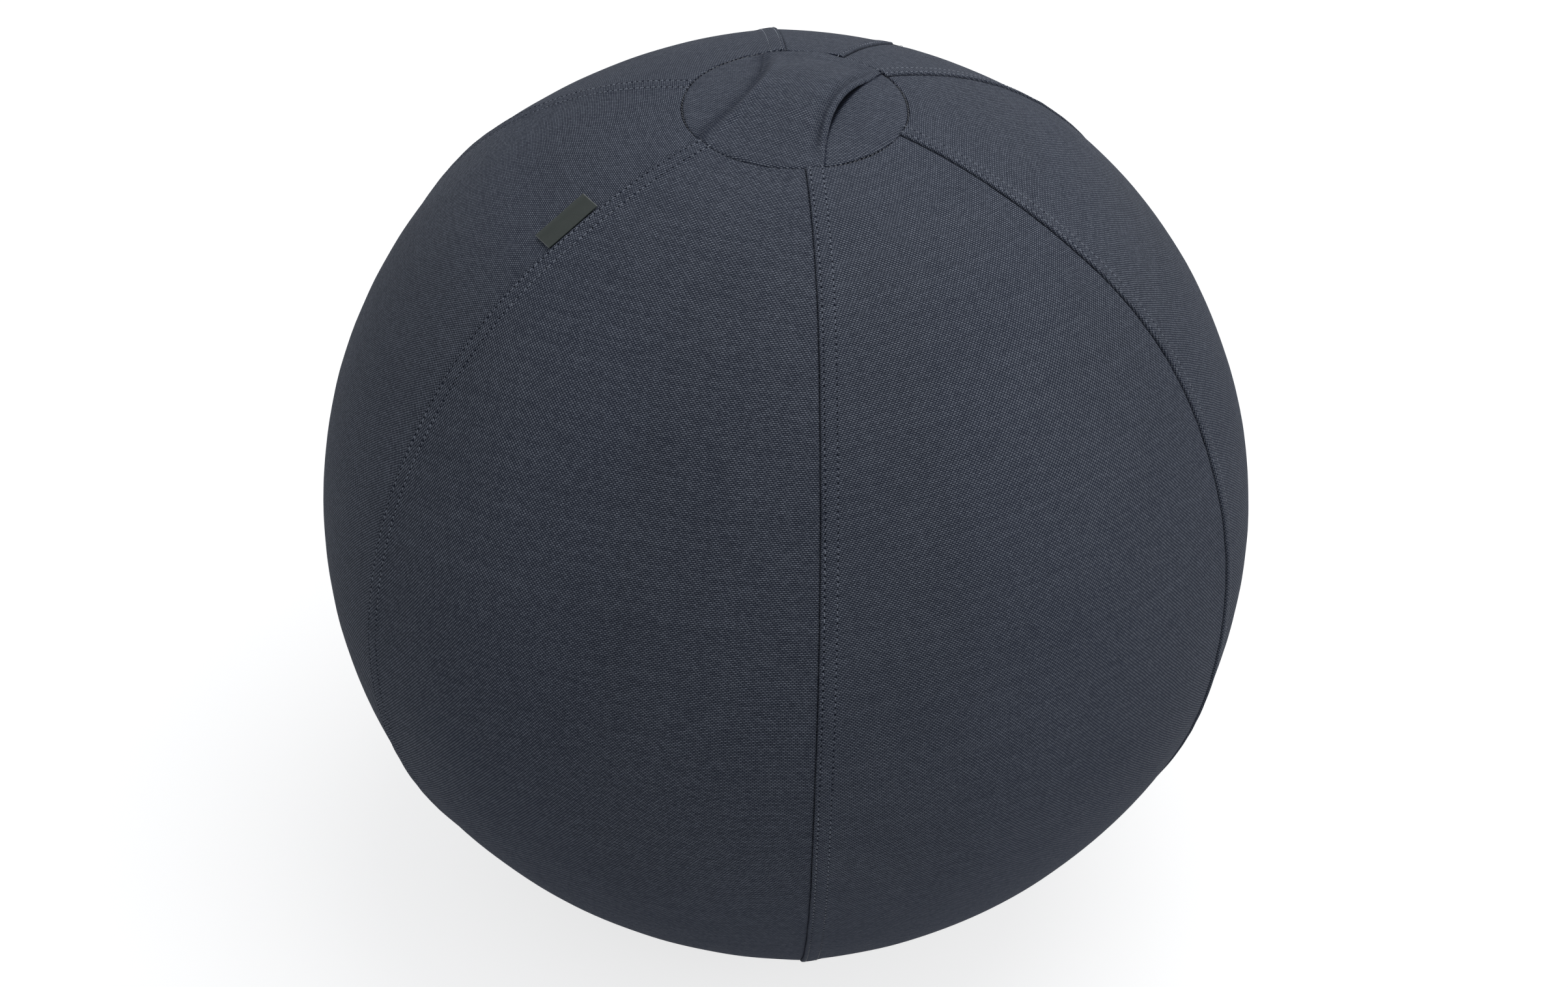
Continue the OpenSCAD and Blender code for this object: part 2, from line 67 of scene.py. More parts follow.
# Azimuth of each whole panel, and how far its threads lie off its middle line, in degrees
PANELS = {
    "front_panel": (0.0, 6.0),
    "front_right_panel": (60.0, 0.0),
    "back_right_panel": (120.0, 0.0),
    "back_left_panel": (240.0, 0.0),
    "front_left_panel": (300.0, 7.0),
}

# Lengths below are in mm. A panel's section beside a seam: distance from the seam and height
# over the panel, first for its outer face and then for its inner one.
# The raised band with its folded edge and two rows of stitches
BAND = (
    (
        (0.15, -0.75), (0.15, -0.2), (0.2, 0.4), (0.4, 0.9), (0.75, 1.22), (1.2, 1.36),
        (1.8, 1.34), (2.15, 1.22), (2.5, 1.02), (2.85, 1.14), (3.4, 1.22), (4.6, 1.2),
        (6.4, 1.1), (8.2, 0.98), (9.4, 0.86), (9.95, 0.76), (10.3, 0.6), (10.65, 0.64),
        (11.2, 0.58), (12.0, 0.42), (12.9, 0.3), (14.0, 0.2), (15.5, 0.12),
    ),
    ((0.3, -0.8), (3.0, -0.8), (8.0, -0.8), (11.0, -0.82), (15.5, -0.9)),
)
# The other side rolls down and dives under the neighbour's band, past the seam's plane
DIVE = (
    (
        (14.0, 0.0), (7.0, 0.0), (4.0, 0.0), (2.6, -0.02), (1.8, -0.06), (1.25, -0.16),
        (0.85, -0.32), (0.55, -0.54), (0.32, -0.76), (0.15, -0.9), (-0.4, -0.95), (-3.0, -0.95),
        (-6.0, -0.95), (-9.5, -0.95),
    ),
    (
        (14.0, -0.9), (5.0, -0.9), (3.0, -1.1), (2.0, -1.5), (0.8, -1.78), (-0.4, -1.8),
        (-4.0, -1.8), (-9.3, -1.8),
    ),
)
# The hems beside the zip, from the middle of the back, with as many points as the two above
HEM_LOW = (
    (
        (5.3, -1.7), (5.12, -1.3), (5.1, -0.9), (5.16, -0.5), (5.35, -0.22), (5.7, -0.06),
        (6.2, 0.0), (6.8, 0.0), (7.5, -0.14), (8.0, -0.02), (8.6, 0.05), (9.6, 0.06),
        (11.0, 0.05), (12.4, 0.03), (13.6, 0.0), (14.4, -0.02), (15.0, -0.06), (15.6, -0.02),
        (16.2, 0.0), (17.0, 0.0), (18.0, 0.0), (19.0, 0.0), (20.5, 0.0),
    ),
    ((5.5, -1.8), (10.0, -1.8), (15.0, -1.8), (15.6, -0.95), (20.5, -0.9)),
)
HEM_HIGH = (
    (
        (20.5, 0.0), (16.0, 0.0), (13.0, 0.03), (10.5, 0.06), (8.6, 0.03), (7.5, -0.14),
        (6.6, 0.0), (6.0, -0.02), (5.6, -0.1), (5.3, -0.28), (5.15, -0.55), (5.1, -0.95),
        (5.13, -1.35), (5.3, -1.7),
    ),
    (
        (20.5, -0.9), (17.0, -0.9), (15.6, -0.95), (15.0, -1.8), (12.0, -1.8), (9.0, -1.8),
        (7.0, -1.8), (5.5, -1.8),
    ),
)
# The roll into the groove at a panel's ends: distance along the cloth and drop, for each face
END_ROLLS = (
    (
        (0.0, -1.85), (0.04, -1.3), (0.12, -0.85), (0.3, -0.46), (0.7, -0.2), (1.3, -0.06),
        (2.4, 0.0),
    ),
    ((0.0, -1.85), (0.25, -1.85), (2.0, -1.8), (3.5, 0.0)),
)
# Step from row to row, and the lowest places of a face at its ends, for each face
ROW_PITCHES = (1.4, 9.0)
END_FLOORS = (-1.85, -2.75)
DIVE_FLOORS = (-1.5, -1.8)
# The raised band's own lowest place there, and how far from the seam it applies
BAND_FLOOR = -0.8
BAND_END = 11.5
# Columns of a panel between its two sections: a whole and a half one, and an inner face
WHOLE_COLUMNS = 34
HALF_COLUMNS = 20
UNDER_COLUMNS = 14
# How high each face stays over the floor
CLEARANCES = (0.32, 1.25)
# The allowances turned in under the cap and over the base: radii, and heights of both faces
CAP_TAIL = ((63.2, 66.0, 69.0, 72.0, 73.0), (-1.95, -2.75))
BASE_TAIL = ((63.2, 67.0, 71.0, 74.0, 76.5), (0.95, 0.12))
TAIL_COLUMNS = 24
# How far an allowance ends inside its panel's edges, in radians
TAIL_INSET = 0.015
# The length of a panel from groove to groove, as the unevenness of its edge counts it
PANEL_RUN = 868.0
# How much straighter the cross threads run than the ball's parallels, from 0 to 1
STRAIGHTNESS = 0.6
# Distances that count as away from every edge, and from every row of stitches
FAR_OFF = 99.0
NO_ROW = 20.0
# Stitches stay this high over the floor, and a row starts and ends this far from the grooves
LOWEST_STITCH = 0.5
ROW_INSET = 1.2
# Cloth counts as in a groove from these depths, and gets its full painted shade this much deeper
PANEL_GROOVE = 0.55
CAP_GROOVE = 0.45
GROOVE_FADE = 0.5
# Waves in a panel's folded edge: their length, size and seed, and how far in they fade
EDGE_WAVES = 26.0
EDGE_SWAY = 0.13
EDGE_SEED = 3
EDGE_FADE = 3.0
# Unevenness of the cloths: length of the waves, seed of their directions, and height
PANEL_WAVES = ((120.0, 11, 0.28), (45.0, 5, 0.10))
PANEL_PUCKERS = ((17.0, 8, 0.10),)
CAP_WAVES = ((42.0, 21, 0.22),)
CAP_PUCKERS = ((9.0, 23, 0.06),)
STRAP_WAVES = ((34.0, 31, 0.22), (12.0, 33, 0.06))
LABEL_WAVES = ((11.0, 41, 0.04),)
# The panels' unevenness sets in between these heights and radii, and puckers reach this far
UNEVEN_HEIGHTS = (2.0, 30.0)
UNEVEN_RADII = (76.0, 100.0)
PUCKER_REACH = 16.0
# Sewn edges are stiffer: how far in on each side, and the share of unevenness left there
STIFF_BAND = 14.0
STIFF_DIVE = 2.0
STIFF_SHARE = 0.6
# Numbers that tell one cloth's threads from another's. A panel's number is its azimuth
CAP_CLOTH = 7.0
BASE_CLOTH = 3.0
STRAP_CLOTH = 11.0
LABEL_CLOTH = 5.0
TAPE_CLOTH = 0.0
POUCH_CLOTH = 0.0

# The cap's edge and the cloth turned in under it: distance in from the edge, height over the dome
CAP_EDGE = (
    (14.0, 0.0), (9.0, 0.02), (6.0, 0.02), (4.0, 0.0), (2.8, -0.05), (1.9, -0.14), (1.2, -0.3),
    (0.7, -0.52), (0.35, -0.8), (0.12, -1.15), (0.03, -1.5), (0.1, -1.78),
)
CAP_UNDER = ((0.8, -1.8), (9.6, -1.8), (10.0, -1.4), (10.6, -0.95), (14.0, -0.9))
# Turn of the cap's threads about the upright
CAP_GRAIN = math.radians(28.3)
# Stitches in the grooves of the cap and the base, and on the pouch: step, and where they differ
GROOVE_PITCH = 3.4
CAP_STITCH = {"Stitch length": 0.0023, "Thread thickness": 0.00062, "Slant": 0.3}
BASE_STITCH = {"Stitch length": 0.0024, "Thread thickness": 0.0005, "Slant": 0.5}
POUCH_PITCH = 3.6
# Height of the two stitch rows of a seam, as a share of the band's, and of a row on a hem
NEAR_RISE = 1.02
FAR_RISE = 0.6
HEM_RISE = -0.1
# Place of the strap's long edges across its middle line, by powers of its length from -1 to 1
STRAP_RIGHT = (-1.7, -3.0, 9.9, 1.2, 31.1)
STRAP_LEFT = (9.3, -2.5, -22.9, 2.7, -29.6)
# Radius at which the strap's ends go into the cap's seam
STRAP_REACH = 72.8
# Height of the label's sewn edge over the panel
LABEL_SEAT = 0.9
# Upper side of the zip's tapes and lower side of its coils, and how far they go on or end short
TAPE_LEVEL = -1.9
TAPE_TAIL = 8.0
COIL_LEVEL = -1.85
COIL_STOP = 3.6
BLADDER_RADIUS = 320.0
# The bladder is let in beside the zip, to this radius and between these distances
RELIEF_RADIUS = 318.6
RELIEF_SIDE = (7.6, 9.6)
# The hollow over the pouch: radius of its wall, heights of its shelf and its top, and its rounding
HOLLOW_WALL = 86.3
HOLLOW_SHELF = 14.6
HOLLOW_TOP = 24.8
HOLLOW_ROUND = 11.3
HOLLOW_FLAT = 69.0

# Points along a row of stitches on a seam, round a ring and along a coil
ROW_POINTS = 1200
RING_POINTS = 361
COIL_POINTS = 400
# Points round each revolved piece
CAP_SEGMENTS = 432
BASE_SEGMENTS = 180
BLADDER_SEGMENTS = 288
POUCH_SEGMENTS = 144

# How far the sewn seams stray from even steps: angle from the top and turn, in degrees
SEAM_STRAY = {
    30.0: (
        (12.0, 0.5), (20.0, 0.6), (28.0, 0.42), (36.0, 0.0), (44.0, -0.4), (52.0, -0.67),
        (64.0, -0.97), (76.0, -1.22), (90.0, -1.38), (104.0, -1.31), (118.0, -1.2),
        (135.0, -0.9), (168.0, 0.0),
    ),
    90.0: (
        (12.0, 0.1), (20.0, 0.45), (28.0, 0.98), (36.0, 1.68), (43.0, 2.28), (48.0, 2.45),
        (54.0, 2.25), (60.0, 1.6), (68.0, 0.66), (76.0, -0.33), (84.0, -1.42), (92.0, -2.3),
        (102.0, -2.5), (120.0, -1.8), (168.0, 0.0),
    ),
    330.0: (
        (12.0, 0.0), (20.0, -0.2), (31.0, -0.65), (38.0, -1.45), (46.0, -1.68), (56.0, -1.5),
        (70.0, -1.3), (84.0, -0.95), (100.0, -0.9), (120.0, -0.7), (168.0, 0.0),
    ),
}
# The stray of a seam fades out between these angles beside it, in degrees
STRAY_REACH = (4.0, 56.0)


def length(name, default, description, high=2.0):
    """A length in metres that a user can change."""
    return bpy.props.FloatProperty(
        name=name, description=description, default=default, min=0.0, max=high,
        unit="LENGTH", subtype="DISTANCE", precision=5,
    )


def angle(name, degrees, description):
    """An angle that a user can change, given in degrees."""
    return bpy.props.FloatProperty(
        name=name, description=description, default=math.radians(degrees), unit="ROTATION",
        subtype="ANGLE",
    )


def share(name, default, description, high=1.0):
    """A plain number from 0 up."""
    return bpy.props.FloatProperty(
        name=name, description=description, default=default, min=0.0, max=high,
    )


def colour(name, default, description):
    """A colour in linear light."""
    return bpy.props.FloatVectorProperty(
        name=name, description=description, default=default, size=3, min=0.0, max=1.0,
        subtype="COLOR",
    )


class CoverSettings(bpy.types.PropertyGroup):
    """Sizes and colours of the canvas cover."""

    panel_radius: length("Panel radius", 0.323, "Radius of the cover in the middle of each panel")
    ridge_height: length("Ridge height", 0.0044, "Height of each seam over a panel's middle")
    flat_radius: length("Flat radius", 0.0715, "Radius of the flat that the ball rests on")
    cloth_thickness: length("Cloth thickness", 0.0009, "Thickness of the canvas")
    band_rise: length("Band rise", 0.001, "Height of the raised band under its stitches")
    groove_width: length("Groove width", 0.0003, "Gap between two pieces sewn edge to edge")
    cap_radius: length("Cap radius", 0.073, "Radius of the round cap on top")
    cap_bulge: length("Cap bulge", 0.0012, "How far the middle of the cap stands proud")
    base_radius: length("Base radius", 0.073, "Radius of the base panel")
    base_thickness: length("Base thickness", 0.0012, "Thickness of the coated base panel")
    warp_pitch: length("Warp pitch", 0.00116, "Distance between the threads along a panel")
    weft_pitch: length("Weft pitch", 0.00121, "Distance between the threads across a panel")
    canvas_colour: colour("Canvas", (0.064, 0.070, 0.084), "Colour of the canvas threads")
    base_colour: colour("Base", (0.020, 0.021, 0.024), "Colour of the coated base panel")


class SewingSettings(bpy.types.PropertyGroup):
    """Rows of topstitching."""

    stitch_pitch: length("Stitch pitch", 0.0042, "Distance from one stitch to the next")
    stitch_length: length("Stitch length", 0.0029, "Visible length of one stitch")
    thread_thickness: length("Thread thickness", 0.00046, "Thickness of the sewing thread")
    near_row: length("Near row", 0.0025, "Distance of the first row from the seam")
    far_row: length("Far row", 0.0103, "Distance of the second row from the seam")
    thread_colour: colour("Thread", (0.22, 0.245, 0.3), "Colour of the topstitching thread")
    groove_colour: colour("Groove thread", (0.075, 0.082, 0.1), "Colour of the seam thread")


class StrapSettings(bpy.types.PropertyGroup):
    """Sizes of the carrying strap."""

    thickness: length("Thickness", 0.002, "Two layers of canvas and a lining")
    arch: length("Arch", 0.0094, "Height of the top face over the cap, in the middle")
    right_edge: length("Right edge", 0.0070, "Height of the right edge's top over the cap")
    left_edge: length("Left edge", 0.0034, "Height of the left edge's top over the cap")
    crease: length("Crease", 0.0026, "Depth of the soft crease inside the right edge")
    turn: angle("Turn", 5.5, "Turn of the strap about the upright")


class LabelSettings(bpy.types.PropertyGroup):
    """The folded label in a seam."""

    label_length: length("Length", 0.040, "Length along the seam")
    label_width: length("Width", 0.017, "Width from the seam to the fold")
    label_thickness: length("Thickness", 0.0006, "Thickness of the folded label")
    label_polar: angle("Place", 30.4, "Angle of the label's middle from the top")
    satin_colour: colour("Satin", (0.022, 0.030, 0.027), "Colour of the woven label")


class ZipSettings(bpy.types.PropertyGroup):
    """The zip in the back panel."""

    top_polar: angle("Upper end", 30.0, "Angle of the zip's upper end from the top")
    low_polar: angle("Lower end", 118.0, "Angle of the zip's lower end from the top")
    gap_width: length("Gap", 0.010, "Width between the cover's edges")
    tape_width: length("Tape width", 0.0125, "Width of each tape")
    tape_thickness: length("Tape thickness", 0.0006, "Thickness of each tape")
    coil_width: length("Coil width", 0.0022, "Width of each coil")
    coil_height: length("Coil height", 0.00175, "Height of each coil")
    coil_slot: length("Coil slot", 0.0012, "Width between the two coils")
    coil_pitch: length("Coil pitch", 0.0013, "Distance from one turn to the next")
    tape_colour: colour("Tape", (0.022, 0.024, 0.029), "Colour of the tapes")
    coil_colour: colour("Coil", (0.030, 0.032, 0.037), "Colour of the coils")
    metal_colour: colour("Metal", (0.27, 0.275, 0.28), "Colour of slider, pull and stops")


class InsideSettings(bpy.types.PropertyGroup):
    """Bladder, valve and weight pouch."""

    wall: length("Bladder wall", 0.0012, "Thickness of the bladder's wall")
    pouch_radius: length("Pouch radius", 0.086, "Radius of the pouch's sewn edge")
    pouch_height: length("Pouch height", 0.022, "Thickness of the filled pouch")
    pouch_cloth: length("Pouch cloth", 0.0008, "Thickness of the pouch's cloth")
    vinyl_colour: colour("Vinyl", (0.055, 0.060, 0.068), "Colour of the bladder")
    seat_colour: colour("Seat", (0.03, 0.03, 0.033), "Colour of the valve seat")
    plug_colour: colour("Plug", (0.62, 0.62, 0.58), "Colour of the valve plug")
    pouch_colour: colour("Pouch", (0.026, 0.027, 0.031), "Colour of the pouch's cloth")
    sand_colour: colour("Sand", (0.52, 0.41, 0.26), "Colour of the sand")


class StudioSettings(bpy.types.PropertyGroup):
    """Camera, lamps and floor."""

    azimuth: angle("Camera azimuth", 24.7, "Camera's turn from the front panel's middle")
    elevation: angle("Camera elevation", 38.4, "Camera's angle above the level")
    distance: length("Camera distance", 1.99875, "Camera to the ball's middle", high=10.0)
    lens: share("Lens", 64.77, "Focal length in millimetres on a 36 mm sensor", 300.0)
    roll: angle("Roll", 1.4, "Turn of the camera about its own axis")
    key_power: share("Key power", 25.0, "Power of the large lamp overhead, in watts", 1000.0)
    side_power: share("Side power", 11.0, "Power of the lamp at the right, in watts", 1000.0)
    fill: share("Fill", 0.46, "Brightness of the surroundings", 5.0)
    floor_shade: share("Floor shade", 0.60, "How much light the floor gives back")


SETTINGS = {
    "ball_cover": CoverSettings,
    "ball_sewing": SewingSettings,
    "ball_strap": StrapSettings,
    "ball_label": LabelSettings,
    "ball_zip": ZipSettings,
    "ball_inside": InsideSettings,
    "ball_studio": StudioSettings,
}


def smooth(value, low, high):
    """0 below low, 1 above high, and a soft S between them."""
    t = np.clip((value - low) / (high - low), 0.0, 1.0)
    return t * t * (3.0 - 2.0 * t)


def mound(value, middle, width):
    """A soft hump of height 1."""
    return np.exp(-(((value - middle) / width) ** 2))


def rounded(inset, radius):
    """0 at an edge and 1 from a radius inside it, as a quarter circle."""
    return np.sqrt(np.clip(1.0 - (1.0 - np.clip(inset / radius, 0.0, 1.0)) ** 2, 0.0, 1.0))


def vectors(*parts):
    """Vectors from their separate parts, each an array or one number."""
    return np.stack(np.broadcast_arrays(*parts), axis=-1)


def spun(x, y, turn):
    """Places seen from axes that are turned to the left."""
    return x * np.cos(turn) + y * np.sin(turn), y * np.cos(turn) - x * np.sin(turn)


def around(radius, turn):
    """Places on a circle, counted from the front."""
    return radius * np.sin(turn), -radius * np.cos(turn)


def ripple(points, size, seed, waves=9):
    """Gentle unevenness of about -1 to 1 at each point, with waves of about that size in mm."""
    rng = np.random.default_rng(seed)
    total = np.zeros(points.shape[:-1])
    for _ in range(waves):
        direction = rng.normal(size=3)
        direction /= np.linalg.norm(direction)
        wavelength = size * rng.uniform(0.7, 1.5)
        phase = rng.uniform(0.0, FULL_TURN)
        total += np.sin(points @ direction * (FULL_TURN / wavelength) + phase)
    return total / math.sqrt(waves)


def rippled(points, kinds):
    """Unevenness in mm of several kinds together, each with its length, seed and height."""
    return sum(ripple(points, size, seed) * height for size, seed, height in kinds)


def spline(value, places, heights):
    """A smooth curve through given heights, level past both ends."""
    slopes = np.gradient(heights, places)
    slopes[0] = slopes[-1] = 0.0
    value = np.clip(value, places[0], places[-1])
    at = np.clip(np.searchsorted(places, value, side="right") - 1, 0, len(places) - 2)
    width = places[at + 1] - places[at]
    t = (value - places[at]) / width
    first = heights[at] * (1 + 2 * t) * (1 - t) ** 2 + heights[at + 1] * t * t * (3 - 2 * t)
    return first + width * (slopes[at] * t * (1 - t) ** 2 - slopes[at + 1] * t * t * (1 - t))


class Cover:
    """Sizes of the cover in millimetres, and the shapes that follow from them."""

    def __init__(self):
        sizes = bpy.context.scene.ball_cover
        self.panel_r = sizes.panel_radius / MM
        seam_r = self.panel_r + sizes.ridge_height / MM
        chord = 2.0 * (self.panel_r - seam_r * math.cos(LOW_PLANE))
        self.axis_shift = (seam_r**2 - self.panel_r**2) / chord
        self.ball_z = math.sqrt(self.panel_r**2 - (sizes.flat_radius / MM) ** 2)
        self.cloth = sizes.cloth_thickness / MM
        self.band_rise = sizes.band_rise / MM
        self.groove = sizes.groove_width / MM
        self.cap_r = sizes.cap_radius / MM
        self.cap_bulge = sizes.cap_bulge / MM
        self.base_r = sizes.base_radius / MM
        self.base_t = sizes.base_thickness / MM

    def turned(self, azimuth, across, forward, up):
        """Points of the row frame from distances across and outward at an azimuth."""
        x, back = spun(across, forward, math.radians(azimuth))
        return vectors(x, -back, up)

    def reach(self, phi, rise=0.0):
        """Distance from a panel's axis at angles above the level."""
        return self.axis_shift + (self.panel_r + rise) * np.cos(phi)

    def panel_plan(self, phi, alpha, rise):
        """Distances across and outward, and height, of points on one panel's surface."""
        reach = self.reach(phi, rise)
        up = self.ball_z + (self.panel_r + rise) * np.sin(phi)
        return reach * np.sin(alpha), reach * np.cos(alpha) - self.axis_shift, up

    def turn_of(self, plane, distance, reach, side=-1):
        """Turn about a panel's axis, a distance inside its lower (-1) or higher (1) edge plane."""
        shift = self.axis_shift * math.sin(plane)
        return plane - side * np.arcsin((distance + side * shift) / reach)

    def end_phi(self, radius, sign, turn_at):
        """Angle above the level at which lines, whose turn depends on it, reach a radius."""
        phi = sign * np.arccos(radius / self.panel_r)
        for _ in range(ROUNDS):
            alpha = turn_at(phi)
            hidden = self.axis_shift * np.sin(alpha)
            reach = self.axis_shift * np.cos(alpha) + np.sqrt(radius**2 - hidden**2)
            phi = sign * np.arccos((reach - self.axis_shift) / self.panel_r)
        return phi

    def on_back(self, polar, across, rise):
        """Points beside the back's middle line: polar in radians, across toward +X, in mm."""
        phi = math.pi / 2 - polar
        alpha = np.arcsin(-across / self.reach(phi))
        return self.turned(BACK, *self.panel_plan(phi, alpha, rise))

    def strayed(self, points):
        """Points turned about the upright by as much as the nearest seams stray."""
        x, y, z = np.moveaxis(points, -1, 0)
        azimuth = np.degrees(np.arctan2(x, -y)) % 360.0
        polar = np.degrees(np.arctan2(np.hypot(x, y), z - self.ball_z))
        turn = np.zeros_like(x)
        for seam, places in SEAM_STRAY.items():
            apart = np.abs((azimuth - seam + 180.0) % 360.0 - 180.0)
            turn += (1.0 - smooth(apart, *STRAY_REACH)) * spline(polar, *np.array(places).T)
        return vectors(*spun(x, y, -np.radians(turn)), z)

    def dome(self, x, y, rise=0.0):
        """Height of the round cap's surface over the floor."""
        return self.ball_z + np.sqrt((self.panel_r + rise) ** 2 - x * x - y * y)

    def over_base(self, x, y, rise):
        """Height of a level that lies over the flat base panel."""
        return self.base_t + rise

    def edge_wobble(self, azimuth):
        """How far the cap's edge stands out at an azimuth: a little more at the seams."""
        return 0.5 * np.cos(6.0 * (azimuth + LOW_PLANE)) - 0.3

    def outward(self, points):
        """Unit vectors from the ball's middle."""
        away = points - np.array([0.0, 0.0, self.ball_z])
        return away / np.linalg.norm(away, axis=-1, keepdims=True)


def between(first, second, weight):
    """Sections blended row by row: (distances, heights), each rows by points."""
    weight = weight[:, None, None]
    mixed = np.array(first) * (1.0 - weight) + np.array(second) * weight
    return mixed[:, :, 0], mixed[:, :, 1]


class PanelEdge:
    """A long edge of a panel: its plane's angle, and its sections away from and beside the zip."""

    def __init__(self, degrees, faces, zip_faces=None):
        self.plane = math.radians(degrees)
        self.faces = faces
        self.zip_faces = zip_faces or faces
        self.zipped = zip_faces is not None


def zip_share(phi, softness=math.radians(0.9)):
    """1 beside the zip and 0 past its ends, for angles above the level."""
    sizes = bpy.context.scene.ball_zip
    low, top = (
        smooth(phi, end - softness / 2, end + softness / 2)
        for end in (math.pi / 2 - sizes.low_polar, math.pi / 2 - sizes.top_polar)
    )
    return low * (1.0 - top)


def groove_depth(rise, start):
    """How deep in a groove the cloth lies, from 0 to 1, which sets the painted shade there."""
    return np.clip(-(rise + start) / GROOVE_FADE, 0.0, 1.0)


def cloth_values(across, along, piece, depth=0.0):
    """Thread places of a cloth, by a number that tells pieces apart, with no stitches near."""
    zero = across * 0.0
    return {
        "threads": vectors(across, along, zero + piece),
        "sewing": vectors(zero + NO_ROW, zero, zero + depth),
    }


def grid_quads(rows, cols, start=0):
    """Faces of a grid of points, row by row from the top and column by column to the right."""
    index = start + np.arange(rows * cols).reshape(rows, cols)
    corners = (index[:-1, :-1], index[1:, :-1], index[1:, 1:], index[:-1, 1:])
    return np.stack([corner.ravel() for corner in corners], axis=1)


def grid_loop(rows, cols, start=0):
    """A grid's rim, down its left side first, and how far round each point is, from 0 to 4."""
    index = start + np.arange(rows * cols).reshape(rows, cols)
    loop = np.concatenate([index[:-1, 0], index[-1, :-1], index[:0:-1, -1], index[0, :0:-1]])
    down, over = np.arange(rows - 1) / (rows - 1), np.arange(cols - 1) / (cols - 1)
    return loop, np.concatenate([down, 1 + over, 2 + down, 3 + over])


def rim_faces(outer, outer_at, inner, inner_at):
    """Triangles of the wall between two rims that run the same way round."""
    faces = []
    i = j = 0
    outer_end, inner_end = len(outer), len(inner)
    outer_next = np.append(outer_at[1:], 4.0)
    inner_next = np.append(inner_at[1:], 4.0)
    while i < outer_end or j < inner_end:
        a, b = outer[i % outer_end], inner[j % inner_end]
        if j >= inner_end or (i < outer_end and outer_next[i] <= inner_next[j]):
            faces.append((outer[(i + 1) % outer_end], a, b))
            i += 1
        else:
            faces.append((a, b, inner[(j + 1) % inner_end]))
            j += 1
    return np.array(faces, int)


def mesh_of(name, points, quads, triangles, attributes):
    """A mesh from points in mm, four-sided and three-sided faces, and point attributes."""
    mesh = bpy.data.meshes.new(name)
    corners = np.concatenate([quads.ravel(), triangles.ravel()]).astype(np.int32)
    sizes = np.concatenate([np.full(len(quads), 4), np.full(len(triangles), 3)])
    mesh.vertices.add(len(points))
    mesh.vertices.foreach_set("co", (points * MM).astype(np.float32).ravel())
    mesh.loops.add(len(corners))
    mesh.loops.foreach_set("vertex_index", corners)
    mesh.polygons.add(len(sizes))
    mesh.polygons.foreach_set("loop_start", (np.cumsum(sizes) - sizes).astype(np.int32))
    mesh.polygons.foreach_set("use_smooth", np.ones(len(sizes), bool))
    for key, values in attributes.items():
        layer = mesh.attributes.new(key, "FLOAT_VECTOR", "POINT")
        layer.data.foreach_set("vector", values.astype(np.float32).ravel())
    mesh.update(calc_edges=True)
    if mesh.validate():
        raise RuntimeError(f"{name} has faulty faces")
    return mesh


def linked(name, data):
    """A new object in the scene."""
    thing = bpy.data.objects.new(name, data)
    bpy.context.scene.collection.objects.link(thing)
    return thing


def place(name, mesh, material, slot, body="ball", stands_for=()):
    """Shows a finished mesh as a piece that rides on a body and stands for CAD nodes."""
    mesh.materials.clear()
    mesh.materials.append(material)
    piece = linked(name, mesh)
    if body:
        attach(piece, body)
    if stands_for:
        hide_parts(*stands_for)
    return piece


def paint(node, material):
    """Gives a carried-over CAD node its material."""
    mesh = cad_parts[node].data
    mesh.materials.clear()
    mesh.materials.append(material)


class Shell:
    """Grids of points that close into one mesh, with the same attributes at every point."""

    def __init__(self):
        self.points = []
        self.values = {}
        self.quads = [np.zeros((0, 4), int)]
        self.triangles = [np.zeros((0, 3), int)]
        self.count = 0

    def add_points(self, points, values):
        start = self.count
        points = np.asarray(points, float).reshape(-1, 3)
        self.points.append(points)
        for key, value in values.items():
            self.values.setdefault(key, []).append(np.asarray(value, float).reshape(-1, 3))
        self.count += len(points)
        return start

    def add_sheet(self, outer, inner):
        """A closed sheet from two grids, each (points, values), and the wall round them."""
        loops = []
        for (points, values), outward in ((outer, True), (inner, False)):
            rows, cols = points.shape[:2]
            start = self.add_points(points, values)
            quads = grid_quads(rows, cols, start)
            self.quads.append(quads if outward else quads[:, [0, 3, 2, 1]])
            loops += grid_loop(rows, cols, start)
        self.triangles.append(rim_faces(*loops))

    def add_rings(self, rings, tips, outward=True):
        """A closed skin: rings of points and a tip at each end, each (points, values)."""
        rows, segments = rings[0].shape[:2]
        start = self.add_points(*rings)
        index = start + np.arange(rows * segments).reshape(rows, segments)
        right = np.roll(index, -1, axis=1)
        quads = np.stack([index[:-1], index[1:], right[1:], right[:-1]], -1).reshape(-1, 4)
        self.quads.append(quads if outward else quads[:, ::-1])
        for tip, ring, following in zip(tips, (index[0], right[-1]), (right[0], index[-1])):
            fan = np.stack([ring * 0 + self.add_points(*tip), ring, following], -1)
            self.triangles.append(fan if outward else fan[:, ::-1])

    def mesh(self, name):
        values = {key: np.concatenate(parts) for key, parts in self.values.items()}
        faces = np.concatenate(self.quads), np.concatenate(self.triangles)
        return mesh_of(name, np.concatenate(self.points), *faces, values)


def two_faced(name, grids, along, over, face):
    """A mesh of one sheet: face(along, over, under) gives its outer face and then its inner one."""
    faces = []
    for under, (rows, cols) in zip((False, True), grids):
        places = np.meshgrid(np.linspace(*along, rows), np.linspace(*over, cols), indexing="ij")
        faces.append(face(*places, under))
    shell = Shell()
    shell.add_sheet(*faces)
    return shell.mesh(name)


